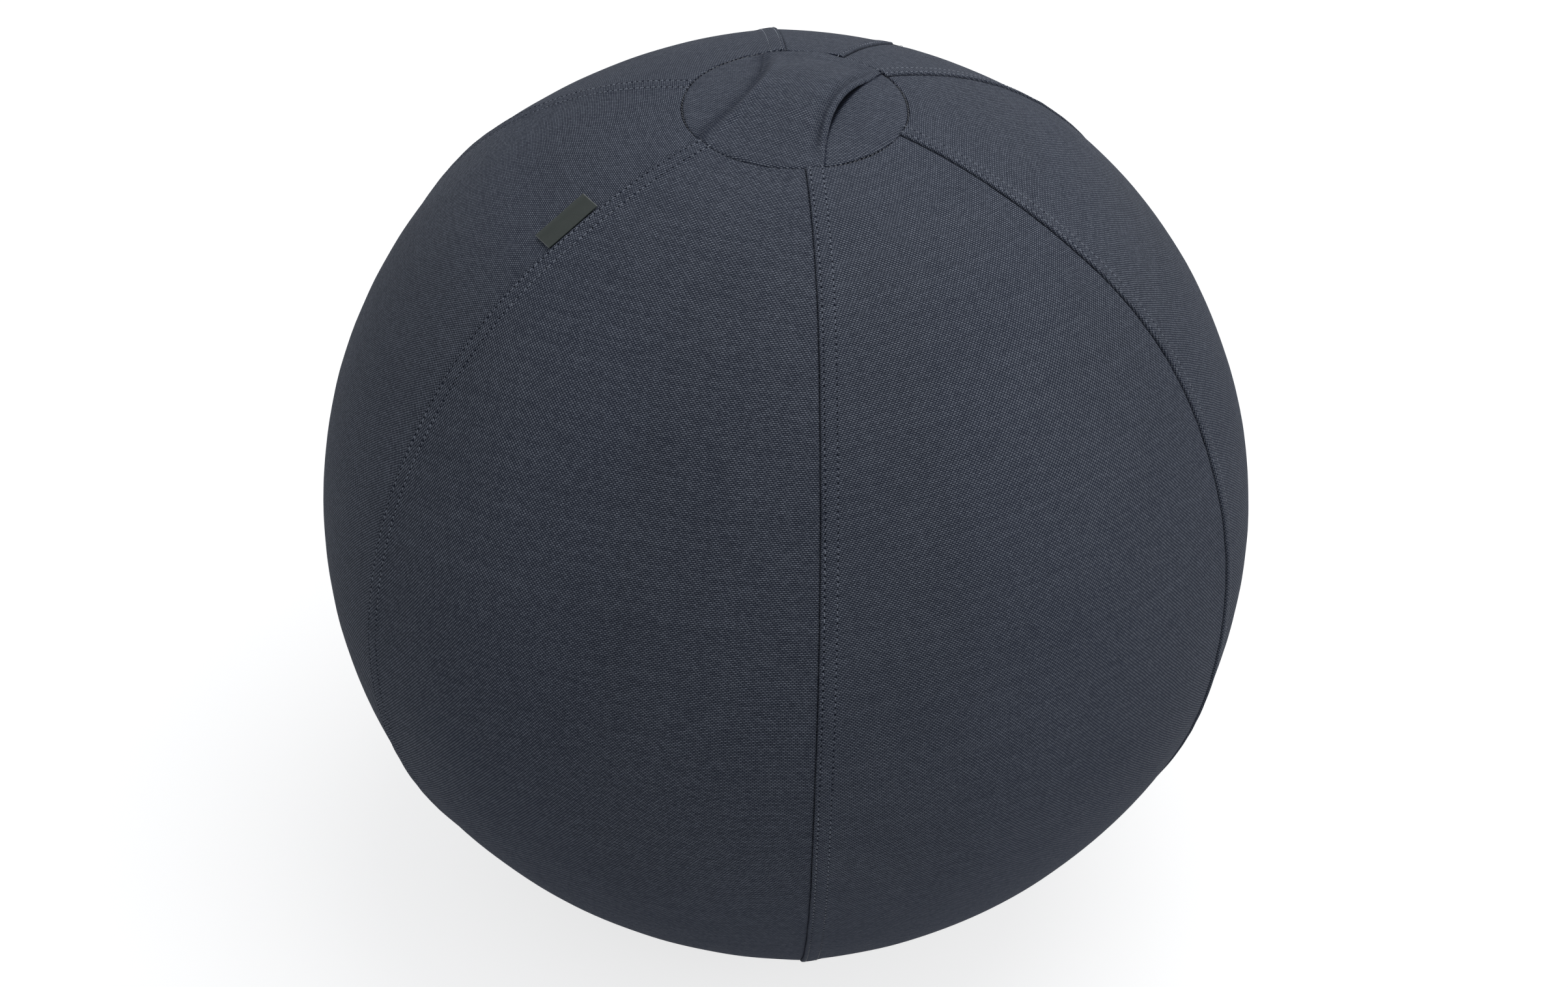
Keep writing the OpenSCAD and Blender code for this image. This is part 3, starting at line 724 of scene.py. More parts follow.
def revolved(name, profile, segments, shape, outward=True):
    """A closed mesh of rings: profile is (radius, level) from one middle to the other."""
    turns = np.arange(segments) / segments * FULL_TURN
    radius, level = (part[:, None] + turns * 0.0 for part in np.array(profile[1:-1]).T)
    rings = shape(radius, level, turns + radius * 0.0)
    tips = [shape(*np.array([*end, 0.0]).reshape(3, 1, 1)) for end in (profile[0], profile[-1])]
    shell = Shell()
    shell.add_rings(rings, tips, outward)
    return shell.mesh(name)


def row_steps(cover, under):
    """For each row of a face: distance rolled at its upper end, share of the way, and drop."""
    ends, drops = np.array(END_ROLLS[under]).T
    free = math.pi * cover.panel_r - 2.0 * (cover.cap_r + ends[-1])
    count = int(round(free / ROW_PITCHES[under]))
    rows = 2 * len(ends) + count - 1
    near, drop = (np.append(part, np.full(rows - len(ends), part[-1])) for part in (ends, drops))
    share_of = np.clip((np.arange(rows) + 1 - len(ends)) / count, 0.0, 1.0)
    return near, share_of, drop + drop[::-1]


def panel_turns(cover, edges, low_d, high_d, shares, phi):
    """Turn about the panel's axis in each column, at angles above the level."""
    low, high = edges[0].plane, edges[1].plane
    first, last = low_d.shape[1], phi.shape[1] - high_d.shape[1]
    reach = cover.reach(phi)
    inner = reach[:, first:last]
    start = cover.turn_of(low, low_d[:, -1:], inner)
    end = cover.turn_of(high, high_d[:, :1], inner, 1)
    return np.concatenate([
        cover.turn_of(low, np.abs(low_d), reach[:, :first]),
        start + (end - start) * shares,
        cover.turn_of(high, np.abs(high_d), reach[:, last:], 1),
    ], axis=1)


def row_angles(cover, edges, low_d, high_d, shares, near, share_of):
    """Angle above the level in each row and column, between the cap's and the base's grooves."""
    blank = np.zeros((1, low_d.shape[1] + len(shares) + high_d.shape[1]))

    def end(radius, sign, row):
        def turn_at(phi):
            return panel_turns(cover, edges, low_d[row], high_d[row], shares, phi + blank)

        return cover.end_phi(radius + cover.groove / 2, sign, turn_at)

    top = end(cover.cap_r, 1.0, slice(0, 1))
    low = end(cover.base_r, -1.0, slice(-1, None))
    free = (top - low) * cover.panel_r - 2.0 * near[-1]
    ends = near + near[-1] - near[::-1]
    return top - (ends[:, None] + share_of[:, None] * free) / cover.panel_r


def panel_face(cover, azimuth, edges, middle, under):
    """One face of a panel, by rows and columns: points, threads, angles and distances."""
    near, share_of, drop = row_steps(cover, under)
    rough = math.acos(cover.cap_r / cover.panel_r)
    guess = rough - near / cover.panel_r - 2.0 * rough * share_of
    opened = zip_share(np.clip(guess, -rough, rough))
    (low_d, low_rise), (high_d, high_rise) = (
        between(edge.faces[under], edge.zip_faces[under], opened) for edge in edges
    )
    shares = np.arange(1, middle + 1) / (middle + 1)
    phi = row_angles(cover, edges, low_d, high_d, shares, near, share_of)
    first, last = low_d.shape[1], low_d.shape[1] + middle
    inner_rise = low_rise[:, -1:] + (high_rise[:, :1] - low_rise[:, -1:]) * shares
    rise = np.concatenate([low_rise, inner_rise, high_rise], axis=1)
    if not under:
        run = (near + share_of * PANEL_RUN)[:, None]
        wave = ripple(vectors(run, 0.0, 0.0), EDGE_WAVES, int(azimuth) + EDGE_SEED)
        low_d = low_d + EDGE_SWAY * wave * np.exp(-low_d / EDGE_FADE)
    distance = np.concatenate([low_d, inner_rise * 0.0 + FAR_OFF, high_d], axis=1)
    column = np.arange(distance.shape[1])
    from_low = np.where(column < last, distance, FAR_OFF)
    from_high = np.where(column >= last, distance, FAR_OFF)
    floor = np.where(from_low[0] < BAND_END, BAND_FLOOR, END_FLOORS[under])
    floor = np.where(from_high[0] < 0.0, DIVE_FLOORS[under], floor)
    rise = np.minimum(rise, np.maximum(rise + drop[:, None], floor))
    alpha = panel_turns(cover, edges, low_d, high_d, shares, phi)
    across, forward, up = cover.panel_plan(phi, alpha, rise)
    # Places past an edge's plane are mirrored in it
    plane = np.where(column < last, edges[0].plane, edges[1].plane)
    along = across * np.sin(plane) + forward * np.cos(plane)
    past = distance < 0.0
    across = np.where(past, 2.0 * along * np.sin(plane) - across, across)
    forward = np.where(past, 2.0 * along * np.cos(plane) - forward, forward)
    run_across = cover.reach(phi) * alpha
    low_steps = np.hypot(np.diff(low_d, axis=1), np.diff(low_rise, axis=1))
    high_steps = np.hypot(np.diff(high_d, axis=1), np.diff(high_rise, axis=1))
    before = np.cumsum(low_steps[:, ::-1], axis=1)[:, ::-1]
    run_across[:, : first - 1] = run_across[:, first - 1 : first] - before
    run_across[:, last + 1 :] = run_across[:, last : last + 1] + np.cumsum(high_steps, axis=1)
    # Cut flat, the cloth's cross threads run straighter than the ball's parallels
    straight = np.arctan(np.tan(phi) / np.cos(alpha))
    run_down = math.pi / 2 - phi + STRAIGHTNESS * (phi - straight)
    points = cover.turned(azimuth, across, forward, up)
    threads = vectors(run_across, run_down * cover.panel_r, azimuth)
    depth = groove_depth(rise, PANEL_GROOVE)
    return points, threads, phi, from_low, from_high, opened[:, None], depth


def seam_row(cover, azimuth, distance, rise, phi):
    """Points of a line that keeps its distance from a panel's lower edge plane."""
    alpha = cover.turn_of(LOW_PLANE, distance, cover.reach(phi))
    return cover.turned(azimuth, *cover.panel_plan(phi, alpha, rise))


def stitch_row(cover):
    """Angles along a seam's first row, stitches from the cap to each, and how many in all."""
    sewing = bpy.context.scene.ball_sewing
    near = sewing.near_row / MM

    def turn_at(phi):
        return cover.turn_of(LOW_PLANE, near, cover.reach(phi))

    top = cover.end_phi(cover.cap_r + ROW_INSET, 1.0, turn_at)
    low = cover.end_phi(cover.base_r + ROW_INSET, -1.0, turn_at)
    angles = np.linspace(top, low, ROW_POINTS)
    steps = np.linalg.norm(np.diff(seam_row(cover, 0.0, near, 0.0, angles), axis=0), axis=1)
    along = np.append(0.0, np.cumsum(steps))
    count = round(along[-1] / (sewing.stitch_pitch / MM))
    return angles, along / along[-1] * count, count


def uneven(cover, points, from_low, from_high):
    """The outer face of a panel with its slow unevenness, and puckers beside its seams."""
    x, y, z = np.moveaxis(points, -1, 0)
    free = smooth(z, *UNEVEN_HEIGHTS) * smooth(np.hypot(x, y), *UNEVEN_RADII)
    slow = rippled(points, PANEL_WAVES)
    stiff = (from_low < STIFF_BAND) & (from_low >= 0.0) | (from_high < STIFF_DIVE)
    slow = np.where(stiff, slow * STIFF_SHARE, slow)
    nearest = np.minimum(np.abs(from_low), np.abs(from_high))
    puckers = rippled(points, PANEL_PUCKERS) * np.clip(1.0 - nearest / PUCKER_REACH, 0.0, 1.0)
    return points + cover.outward(points) * ((slow + puckers) * free)[..., None]


def show_panel(node, azimuth, edges, middle=WHOLE_COLUMNS, skew=0.0):
    """Shows a whole or half panel of canvas with its folded edges and tucked ends."""
    cover = Cover()
    sewing = bpy.context.scene.ball_sewing
    near_row, far_row = sewing.near_row / MM, sewing.far_row / MM
    half_gap = bpy.context.scene.ball_zip.gap_width / MM / 2
    angles, phases, _ = stitch_row(cover)
    slope = math.tan(math.radians(skew))
    faces = []
    for under in (False, True):
        columns = UNDER_COLUMNS if under else middle
        points, threads, phi, from_low, from_high, opened, depth = panel_face(
            cover, azimuth, edges, columns, under
        )
        shift = opened * half_gap
        distance = np.minimum(np.abs(from_low - near_row - shift * edges[0].zipped), NO_ROW)
        if not edges[0].zipped:
            distance = np.minimum(distance, np.abs(from_low - far_row))
        if edges[1].zipped:
            hem = np.abs(from_high - near_row - shift) + NO_ROW * (1.0 - opened)
            distance = np.minimum(distance, hem)
        across, down, panel = np.moveaxis(threads, -1, 0)
        values = {
            "threads": vectors(across - down * slope, down + across * slope, panel),
            "sewing": vectors(distance, np.interp(-phi, -angles, phases), depth),
        }
        if not under:
            points = uneven(cover, points, from_low, from_high)
        points[..., 2] = np.maximum(points[..., 2], CLEARANCES[under])
        faces.append((cover.strayed(points), values))
    shell = Shell()
    shell.add_sheet(*faces)
    turns = np.linspace(edges[0].plane + TAIL_INSET, edges[1].plane - TAIL_INSET, TAIL_COLUMNS)
    for (radii, rises), height_at in ((CAP_TAIL, cover.dome), (BASE_TAIL, cover.over_base)):
        radius, turn = np.meshgrid(radii, turns, indexing="ij")
        across, forward = radius * np.sin(turn), radius * np.cos(turn)
        values = cloth_values(across, forward, azimuth)
        shell.add_sheet(*(
            (cover.turned(azimuth, across, forward, height_at(across, forward, rise)), values)
            for rise in rises
        ))
    name = node.replace("panel", "canvas")
    piece = place(name, shell.mesh(name), canvas(), "canvas", stands_for=[node])


class Tree:
    """Short calls that add nodes to a tree and link them."""

    def __init__(self, tree):
        self.tree = tree
        self.column = 0

    def add(self, kind, inputs=(), **settings):
        node = self.tree.nodes.new(kind)
        node.location = (self.column * 180, 0)
        self.column += 1
        for key, value in settings.items():
            setattr(node, key, value)
        for key, value in dict(inputs).items():
            self.set(node, key, value)
        return node

    def out(self, kind, inputs=(), **settings):
        """The first output of a new node."""
        return self.add(kind, inputs, **settings).outputs[0]

    def set(self, node, key, value):
        socket = node.inputs[key]
        if isinstance(value, bpy.types.NodeSocket):
            self.tree.links.new(value, socket)
        else:
            socket.default_value = value

    def math(self, operation, *values, clamp=False):
        inputs = dict(enumerate(values))
        return self.out("ShaderNodeMath", inputs, operation=operation, use_clamp=clamp)

    def times(self, first, *others):
        """The product of several values."""
        for other in others:
            first = self.math("MULTIPLY", first, other)
        return first

    def mix(self, factor, a, b, kind="RGBA", blend="MIX"):
        node = self.add("ShaderNodeMix", data_type=kind, blend_type=blend)
        first, second, result = {"RGBA": (6, 7, 2), "FLOAT": (2, 3, 0)}[kind]
        for slot, value in ((0, factor), (first, a), (second, b)):
            self.set(node, slot, value)
        return node.outputs[result]

    def fit(self, value, low, high, to_low=0.0, to_high=1.0):
        """A number moved from one range to another, held inside it."""
        inputs = {0: value, 1: low, 2: high, 3: to_low, 4: to_high}
        return self.out("ShaderNodeMapRange", inputs, clamp=True)

    def noise(self, vector, scale, detail=2.0, roughness=0.5):
        inputs = {"Vector": vector, "Scale": scale, "Detail": detail, "Roughness": roughness}
        return self.add("ShaderNodeTexNoise", inputs).outputs["Fac"]

    def attribute(self, name):
        return self.add("ShaderNodeAttribute", attribute_name=name).outputs["Vector"]

    def object_place(self):
        return self.add("ShaderNodeTexCoord").outputs["Object"]

    def split(self, vector):
        return self.add("ShaderNodeSeparateXYZ", {0: vector}).outputs

    def join(self, x=0.0, y=0.0, z=0.0):
        return self.out("ShaderNodeCombineXYZ", {0: x, 1: y, 2: z})

    def toned(self, tint, light):
        """A colour, made lighter or darker."""
        tone = self.out("ShaderNodeCombineColor", {0: light, 1: light, 2: light})
        return self.mix(1.0, tint, tone, blend="MULTIPLY")


def shaded(name):
    """A new material, its tree helper and its shader."""
    material = bpy.data.materials.new(name)
    material.use_nodes = True
    shader = next(node for node in material.node_tree.nodes if node.type == "BSDF_PRINCIPLED")
    return material, Tree(material.node_tree), shader


def dress(t, shader, base, rough, relief, **levels):
    """Sets a shader's colour, roughness, relief (height, size in metres, strength) and levels."""
    t.set(shader, "Base Color", base)
    t.set(shader, "Roughness", rough)
    bump = dict(zip(("Height", "Distance", "Strength"), relief))
    t.set(shader, "Normal", t.out("ShaderNodeBump", bump))
    for name, value in levels.items():
        t.set(shader, name.replace("_", " "), value)


def full(rgb):
    return (*rgb, 1.0)


def node_group(name, kind, inputs, outputs):
    """A node group and its tree helper. A socket is given as its type, or as its default."""
    group = bpy.data.node_groups.new(name, kind)
    for direction, sockets in (("INPUT", inputs), ("OUTPUT", outputs)):
        for key, value in sockets.items():
            given = value if isinstance(value, str) else {int: "Int", float: "Float"}[type(value)]
            socket = group.interface.new_socket(
                key, in_out=direction, socket_type="NodeSocket" + given
            )
            if given != value:
                socket.default_value = value
    return group, Tree(group)


def weave_group():
    """Plain weave seen as rows of short weft floats, each row set off from the last by half; the
    gaps between them get painted shade.
    """
    name = "Plain weave"
    if name in bpy.data.node_groups:
        return bpy.data.node_groups[name]
    inputs = {"Threads": "Vector", "Warp pitch": 1.1, "Weft pitch": 1.27, "Slack": 0.0}
    outputs = dict.fromkeys(("Float", "Warp", "Height", "Chance", "Row"), "Float")
    group, t = node_group(name, "ShaderNodeTree", inputs, outputs)
    given = t.add("NodeGroupInput").outputs
    threads, slack = given["Threads"], given["Slack"]
    u, v, piece = t.split(threads)
    bow = t.math("SUBTRACT", t.noise(threads, 0.05, 1.0), 0.5)
    wander = t.math("SUBTRACT", t.noise(threads, 0.31, 1.0), 0.5)
    a = t.math("MULTIPLY_ADD", bow, 1.2, t.math("DIVIDE", u, given["Warp pitch"]))
    b = t.math("MULTIPLY_ADD", bow, -0.5, t.math("DIVIDE", v, given["Weft pitch"]))
    b = t.math("MULTIPLY_ADD", wander, 0.1, b)
    row = t.math("FLOOR", b)
    across = t.math("SUBTRACT", t.math("FRACT", b), 0.5)
    # Every other row is set off by half a float
    sign = t.math("MULTIPLY_ADD", t.math("FLOORED_MODULO", row, 2.0), -2.0, 1.0)
    place_in = t.times(t.math("MULTIPLY_ADD", sign, -0.5, a), 0.5)
    along = t.times(t.math("SUBTRACT", t.math("FRACT", place_in), 0.5), 2.0)
    wave = t.math("COSINE", t.times(along, math.pi))
    wide = t.math("DIVIDE", across, 0.42)
    roundness = t.math("MAXIMUM", t.math("SUBTRACT", 1.0, t.times(wide, wide)), 0.0)
    # Slack cloth shows fewer gaps beside the floats and longer ones between them, and with them
    # less or more painted shade
    gap = t.math("SUBTRACT", 1.0, roundness)
    roundness = t.math("MULTIPLY_ADD", gap, slack, roundness)
    wave_from = t.math("MULTIPLY_ADD", slack, -0.6, t.math("ADD", wave, 1.0))
    bared = t.math("MULTIPLY_ADD", slack, -0.12, 0.12)
    shown = t.math("MAXIMUM", t.fit(wave_from, 0.0, 0.9, 0.12, 1.0), bared)
    shown = t.math("SUBTRACT", shown, t.times(slack, 0.12), clamp=True)
    weft = t.times(roundness, shown)
    beside = t.fit(t.math("SUBTRACT", 1.0, t.math("ABSOLUTE", along)), 0.0, 0.42, 1.0, 0.0)
    warp = t.times(beside, t.fit(wave, -1.0, -0.2, 1.0, 0.0))
    cell = t.join(t.math("FLOOR", place_in), row, piece)
    line = t.math("MULTIPLY_ADD", piece, 37.0, row)
    t.add("NodeGroupOutput", {
        "Float": weft,
        "Warp": warp,
        "Height": t.math("MAXIMUM", weft, t.times(warp, 0.75)),
        "Chance": t.out("ShaderNodeTexWhiteNoise", {"Vector": cell}, noise_dimensions="3D"),
        "Row": t.out("ShaderNodeTexWhiteNoise", {"W": line}, noise_dimensions="1D"),
    })
    return group


# Painted shade in the cloth's gaps, grooves and hollows is bluer than its threads
SHADE_TINT = (0.86, 1.0, 1.45)
# Side of the ball that the photo shows, counted from the front
SHOWN_SIDE = 25.0


def canvas_material(name, tint, warp=None, weft=None, sewn=True):
    """Dark plain-weave canvas with needle holes along the stitch rows; painted shade darkens its
    weave gaps, grooves, needle holes and shaded places, and painted light its top.
    """
    cover = bpy.context.scene.ball_cover
    material, t, shader = shaded(name)
    place_at = t.object_place()
    x, y, above = t.split(place_at)
    turn = t.math("ARCTAN2", x, t.times(y, -1.0))
    beside = t.math("ABSOLUTE", t.math("SUBTRACT", turn, math.radians(SHOWN_SIDE)))
    # Slack, which changes the weave gaps' painted shade, grows with the turn away from the shown
    # side and falls again towards the back and on top
    slack = t.times(
        t.fit(beside, math.radians(20.0), math.radians(60.0), 0.0, 0.82),
        t.fit(beside, math.radians(100.0), math.radians(135.0), 1.0, 0.3),
        t.fit(above, 0.54, 0.60, 1.0, 0.1),
    )
    weave = t.add("ShaderNodeGroup", node_tree=weave_group())
    for key, value in (
        ("Threads", t.attribute("threads")),
        ("Warp pitch", (warp or cover.warp_pitch) / MM),
        ("Weft pitch", (weft or cover.weft_pitch) / MM),
        ("Slack", slack),
    ):
        t.set(weave, key, value)
    shown = weave.outputs
    # The weave's contrast, and with it the painted shade in its gaps, is lower towards the floor,
    # on top and at the right
    calm = t.times(
        t.fit(above, 0.06, 0.27, 0.08, 1.0), t.fit(above, 0.60, 0.632, 1.0, 0.84),
        t.fit(x, 0.19, 0.29, 1.0, 0.72),
    )
    # The floats set the brightness, and the gaps between them get painted shade
    level = t.mix(calm, 0.32, shown["Float"], kind="FLOAT")
    light = t.math("MULTIPLY_ADD", level, 2.28, 0.02)
    light = t.times(light, t.fit(shown["Chance"], 0.0, 1.0, 0.76, 1.24))
    light = t.math("MULTIPLY_ADD", shown["Warp"], 0.22, light)
    cloudy = t.noise(place_at, 9.0, 3.0, 0.55)
    slub = t.noise(place_at, 420.0, 2.0, 0.6)
    fibre = t.noise(place_at, 2600.0, 2.0, 0.7)
    # Cloudy, slub, row and fibre tone, and painted light that makes the top of the ball up to 12 %
    # lighter
    for value, *span in (
        (cloudy, 0.3, 0.7, 0.94, 1.06), (above, 0.57, 0.632, 1.0, 1.12),
        (slub, 0.25, 0.75, 0.92, 1.08), (shown["Row"], 0.0, 1.0, 0.93, 1.07),
        (fibre, 0.2, 0.8, 0.8, 1.2),
    ):
        light = t.times(light, t.fit(value, *span))
    height = t.times(shown["Height"], 0.24)
    if sewn:
        distance, phase, deep = t.split(t.attribute("sewing"))
        stitch = bpy.context.scene.ball_sewing.stitch_pitch / MM
        along = t.times(t.math("SUBTRACT", t.math("FRACT", phase), 0.5), stitch)
        reach = t.math("ADD", t.math("POWER", along, 2.0), t.math("POWER", distance, 2.0))
        reach = t.math("SQRT", reach)
        # Needle holes painted dark as shade
        hole = t.fit(reach, 0.34, 0.85, 0.04, 1.0)
        # Cloth deep in a groove gets painted shade, with a ragged edge
        ragged = t.math("SUBTRACT", t.noise(place_at, 700.0, 1.0), 0.5)
        deep = t.math("MULTIPLY_ADD", ragged, t.fit(deep, 0.0, 0.2, 0.0, 3.2), deep)
        light = t.times(light, hole, t.fit(deep, 0.0, 1.0, 1.0, 0.1))
        height = t.math("ADD", height, t.times(t.fit(reach, 0.2, 1.9, 1.0, 0.0), -0.32))
    # Painted shadow and shade that a piece carries in its shade attribute, as on and round the
    # strap
    shade = t.split(t.attribute("shade"))[0]
    light = t.times(light, t.fit(shade, 0.0, 1.0, 1.0, 0.1))
    # Where painted shade makes the cloth darker, its colour goes to the bluer shade tint
    dark = full(c * f for c, f in zip(tint, SHADE_TINT))
    wear_and_shade = t.mix(t.fit(light, 0.1, 1.3), dark, full(tint))
    rough = t.fit(shown["Height"], 0.0, 1.0, 0.98, 0.7)
    dress(
        t, shader, t.toned(wear_and_shade, light), rough, (height, MM, 0.6), Specular_IOR_Level=0.06,
        Sheen_Weight=0.012, Sheen_Roughness=0.4, Sheen_Tint=(0.72, 0.78, 0.9, 1.0),
    )
    return material


def thread_material(name, tint):
    """Twisted polyester sewing thread, with painted shade that makes it darker towards the floor.
    """
    material, t, shader = shaded(name)
    place_at = t.object_place()
    twist = t.noise(place_at, 2400.0, 2.0, 0.6)
    slow = t.noise(place_at, 55.0, 2.0, 0.5)
    # Twist and slow tone, and painted shade that darkens the thread towards the floor
    light = t.times(
        t.fit(twist, 0.25, 0.75, 0.7, 1.2), t.fit(slow, 0.3, 0.7, 0.75, 1.15),
        t.fit(t.split(place_at)[2], 0.09, 0.38, 0.09, 1.0),
    )
    rough = t.fit(twist, 0.2, 0.8, 0.45, 0.7)
    base = t.toned(full(tint), light)
    dress(t, shader, base, rough, (twist, 0.0001, 0.6), Sheen_Weight=0.1)
    return material


def grained_material(name, tint, grain, depth, rough, spread=0.12, metallic=0.0):
    """A plain solid finish with fine grain: moulded, coated, metal or granular."""
    material, t, shader = shaded(name)
    place_at = t.object_place()
    fine = t.noise(place_at, grain, 4.0, 0.6)
    slow = t.noise(place_at, grain / 14.0, 3.0, 0.5)
    light = t.times(
        t.fit(fine, 0.25, 0.75, 1.0 - spread, 1.0 + spread), t.fit(slow, 0.3, 0.7, 0.9, 1.1)
    )
    rough = t.fit(slow, 0.2, 0.8, rough * 0.8, min(1.0, rough * 1.2))
    base = t.toned(full(tint), light)
    dress(t, shader, base, rough, (fine, depth, 0.5), Metallic=metallic)
    return material


def made(name, maker, tint):
    """A material that several operators share, made once."""
    return bpy.data.materials.get(name) or maker(name, tint)


def canvas():
    return made("canvas_weave", canvas_material, bpy.context.scene.ball_cover.canvas_colour)


def topstitch():
    return made("topstitch_thread", thread_material, bpy.context.scene.ball_sewing.thread_colour)


def groove_thread():
    return made("groove_thread", thread_material, bpy.context.scene.ball_sewing.groove_colour)


def line_tree(name, counted, sizes, shape):
    """Geometry nodes that set copies of a small shape at even steps along each line of a mesh."""
    if name in bpy.data.node_groups:
        return bpy.data.node_groups[name]
    inputs = {"Geometry": "Geometry", counted: 100, **sizes, "Finish": "Material"}
    group, t = node_group(name, "GeometryNodeTree", inputs, {"Geometry": "Geometry"})
    group.is_modifier = True
    given = t.add("NodeGroupInput").outputs
    line = t.out("GeometryNodeMeshToCurve", {"Mesh": given["Geometry"]})
    row = t.out("GeometryNodeResampleCurve", {"Curve": line, "Count": given[counted]})
    tangent = t.out("GeometryNodeInputTangent")
    stored = {"Name": "outward"}
    outward = t.out("GeometryNodeInputNamedAttribute", stored, data_type="FLOAT_VECTOR")
    along = t.out("FunctionNodeAlignRotationToVector", {"Vector": tangent}, axis="X")
    upright = t.out(
        "FunctionNodeAlignRotationToVector", {"Rotation": along, "Vector": outward}, axis="Z",
        pivot_axis="X",
    )
    copies = t.out("GeometryNodeInstanceOnPoints", {"Points": row, **shape(t, given, upright)})
    real = t.out("GeometryNodeRealizeInstances", {0: copies})
    even = t.out("GeometryNodeSetShadeSmooth", {"Geometry": real})
    painted = t.out("GeometryNodeSetMaterial", {"Geometry": even, "Material": given["Finish"]})
    t.add("NodeGroupOutput", {0: painted})
    return group


def chance(t, seed):
    """A random number from -1 to 1 for each copy."""
    index = t.out("GeometryNodeInputIndex")
    node = t.add("FunctionNodeRandomValue", {"ID": index, "Seed": seed}, data_type="FLOAT")
    t.set(node, 2, -1.0)
    t.set(node, 3, 1.0)
    return node.outputs[1]


def tube(t, path, resolution, radius, caps=False):
    """A round tube along a curve."""
    ring = t.out("GeometryNodeCurvePrimitiveCircle", {"Resolution": resolution, "Radius": radius})
    inputs = {"Curve": path, "Profile Curve": ring, "Fill Caps": caps}
    return t.out("GeometryNodeCurveToMesh", inputs)


def stitch_shape(t, given, upright):
    """One arched stitch, leaning and uneven."""
    half = t.times(given["Stitch length"], 0.5)
    sunk = t.times(given["Thread thickness"], -0.75)
    arch = t.out("GeometryNodeCurveQuadraticBezier", {
        "Resolution": 5,
        "Start": t.join(t.times(half, -1.0), 0.0, sunk),
        "Middle": t.join(z=given["Rise"]),
        "End": t.join(half, 0.0, sunk),
    })
    lean = t.times(chance(t, 4), t.times(given["Unevenness"], 0.8))
    lean = t.join(z=t.math("ADD", lean, given["Slant"]))
    lean = t.out("FunctionNodeEulerToRotation", {0: lean})
    pose = {"Rotation": upright, "Rotate By": lean}
    size = t.math("MULTIPLY_ADD", chance(t, 9), given["Unevenness"], 1.0)
    return {
        "Instance": tube(t, arch, 6, t.times(given["Thread thickness"], 0.5), caps=True),
        "Rotation": t.out("FunctionNodeRotateRotation", pose, rotation_space="LOCAL"),
        "Scale": t.join(size, 1.0, 1.0),
    }


def coil_shape(t, given, upright):
    """One oval turn of a coil, leaning along the zip."""
    wire = t.times(given["Wire"], 0.5)
    wide = t.math("SUBTRACT", given["Half width"], wire)
    high = t.math("SUBTRACT", given["Half height"], wire)
    ring = t.out("GeometryNodeCurvePrimitiveCircle", {"Resolution": 9, "Radius": 1.0})
    oval = t.out("GeometryNodeTransform", {"Geometry": ring, "Scale": t.join(wide, high, 1.0)})
    stood = t.out("FunctionNodeEulerToRotation", {0: (math.pi / 2, 0.0, math.pi / 2)})
    leant = t.out("FunctionNodeEulerToRotation", {0: t.join(z=given["Lean"])})
    pose = {"Rotation": stood, "Rotate By": leant}
    pose = t.out("FunctionNodeRotateRotation", pose, rotation_space="GLOBAL")
    turn = {"Geometry": tube(t, oval, 5, wire), "Rotation": pose}
    return {"Instance": t.out("GeometryNodeTransform", turn), "Rotation": upright}


STITCH_SIZES = {
    "Stitch length": 0.0029, "Thread thickness": 0.0005, "Rise": 0.0003, "Slant": 0.16,
    "Unevenness": 0.12,
}
COIL_SIZES = {"Half width": 0.0011, "Half height": 0.00087, "Wire": 0.00058, "Lean": 0.2}


def grown(name, lines, tree, material, slot, stands_for=(), **inputs):
    """A piece grown by a geometry-nodes tree along lines: each is (points in mm, outward)."""
    points, outward, edges = [], [], []
    start = 0
    for line, normal in lines:
        points.append(line * MM)
        outward.append(normal)
        edges.extend((start + i, start + i + 1) for i in range(len(line) - 1))
        start += len(line)
    mesh = bpy.data.meshes.new(name + "_line")
    mesh.from_pydata(np.concatenate(points).tolist(), edges, [])
    layer = mesh.attributes.new("outward", "FLOAT_VECTOR", "POINT")
    layer.data.foreach_set("vector", np.concatenate(outward).astype(np.float32).ravel())
    carrier = linked(name + "_line", mesh)
    modifier = carrier.modifiers.new("Grown", "NODES")
    modifier.node_group = tree
    inputs["Finish"] = material
    for item in tree.interface.items_tree:
        if item.item_type == "SOCKET" and item.in_out == "INPUT" and item.name in inputs:
            modifier[item.identifier] = inputs[item.name]
    depsgraph = bpy.context.evaluated_depsgraph_get()
    plain = bpy.data.meshes.new_from_object(carrier.evaluated_get(depsgraph))
    plain.name = name
    carrier.modifiers.clear()
    bpy.data.objects.remove(carrier)
    if not plain.polygons:
        raise RuntimeError(f"{name} came out empty")
    if "outward" in plain.attributes:
        plain.attributes.remove(plain.attributes["outward"])
    return place(name, plain, material, slot, stands_for=stands_for)


def stitched(name, lines, count, material=None, slot="canvas", **changes):
    """Stitches along lines of points."""
    sewing = bpy.context.scene.ball_sewing
    inputs = {
        "Stitches in a row": count,
        "Stitch length": sewing.stitch_length,
        "Thread thickness": sewing.thread_thickness,
        "Rise": sewing.thread_thickness * 0.9,
        **changes,
    }
    tree = line_tree("Stitches along a line", "Stitches in a row", STITCH_SIZES, stitch_shape)
    return grown(name, lines, tree, material or topstitch(), slot, **inputs)


def stitched_round(name, radius, pitch, line_at, **settings):
    """A round row of stitches, on a line that depends on the turn."""
    turns = np.linspace(0.0, FULL_TURN, RING_POINTS)
    stitched(name, [line_at(turns)], round(FULL_TURN * radius / pitch), **settings)


def level_ring(radius, height, up):
    """A level ring of points, with its stitches on the upper (1) or lower (-1) side."""
    def line_at(turns):
        line = vectors(*around(radius, turns), height)
        return line, line * 0.0 + (0.0, 0.0, up)

    return line_at


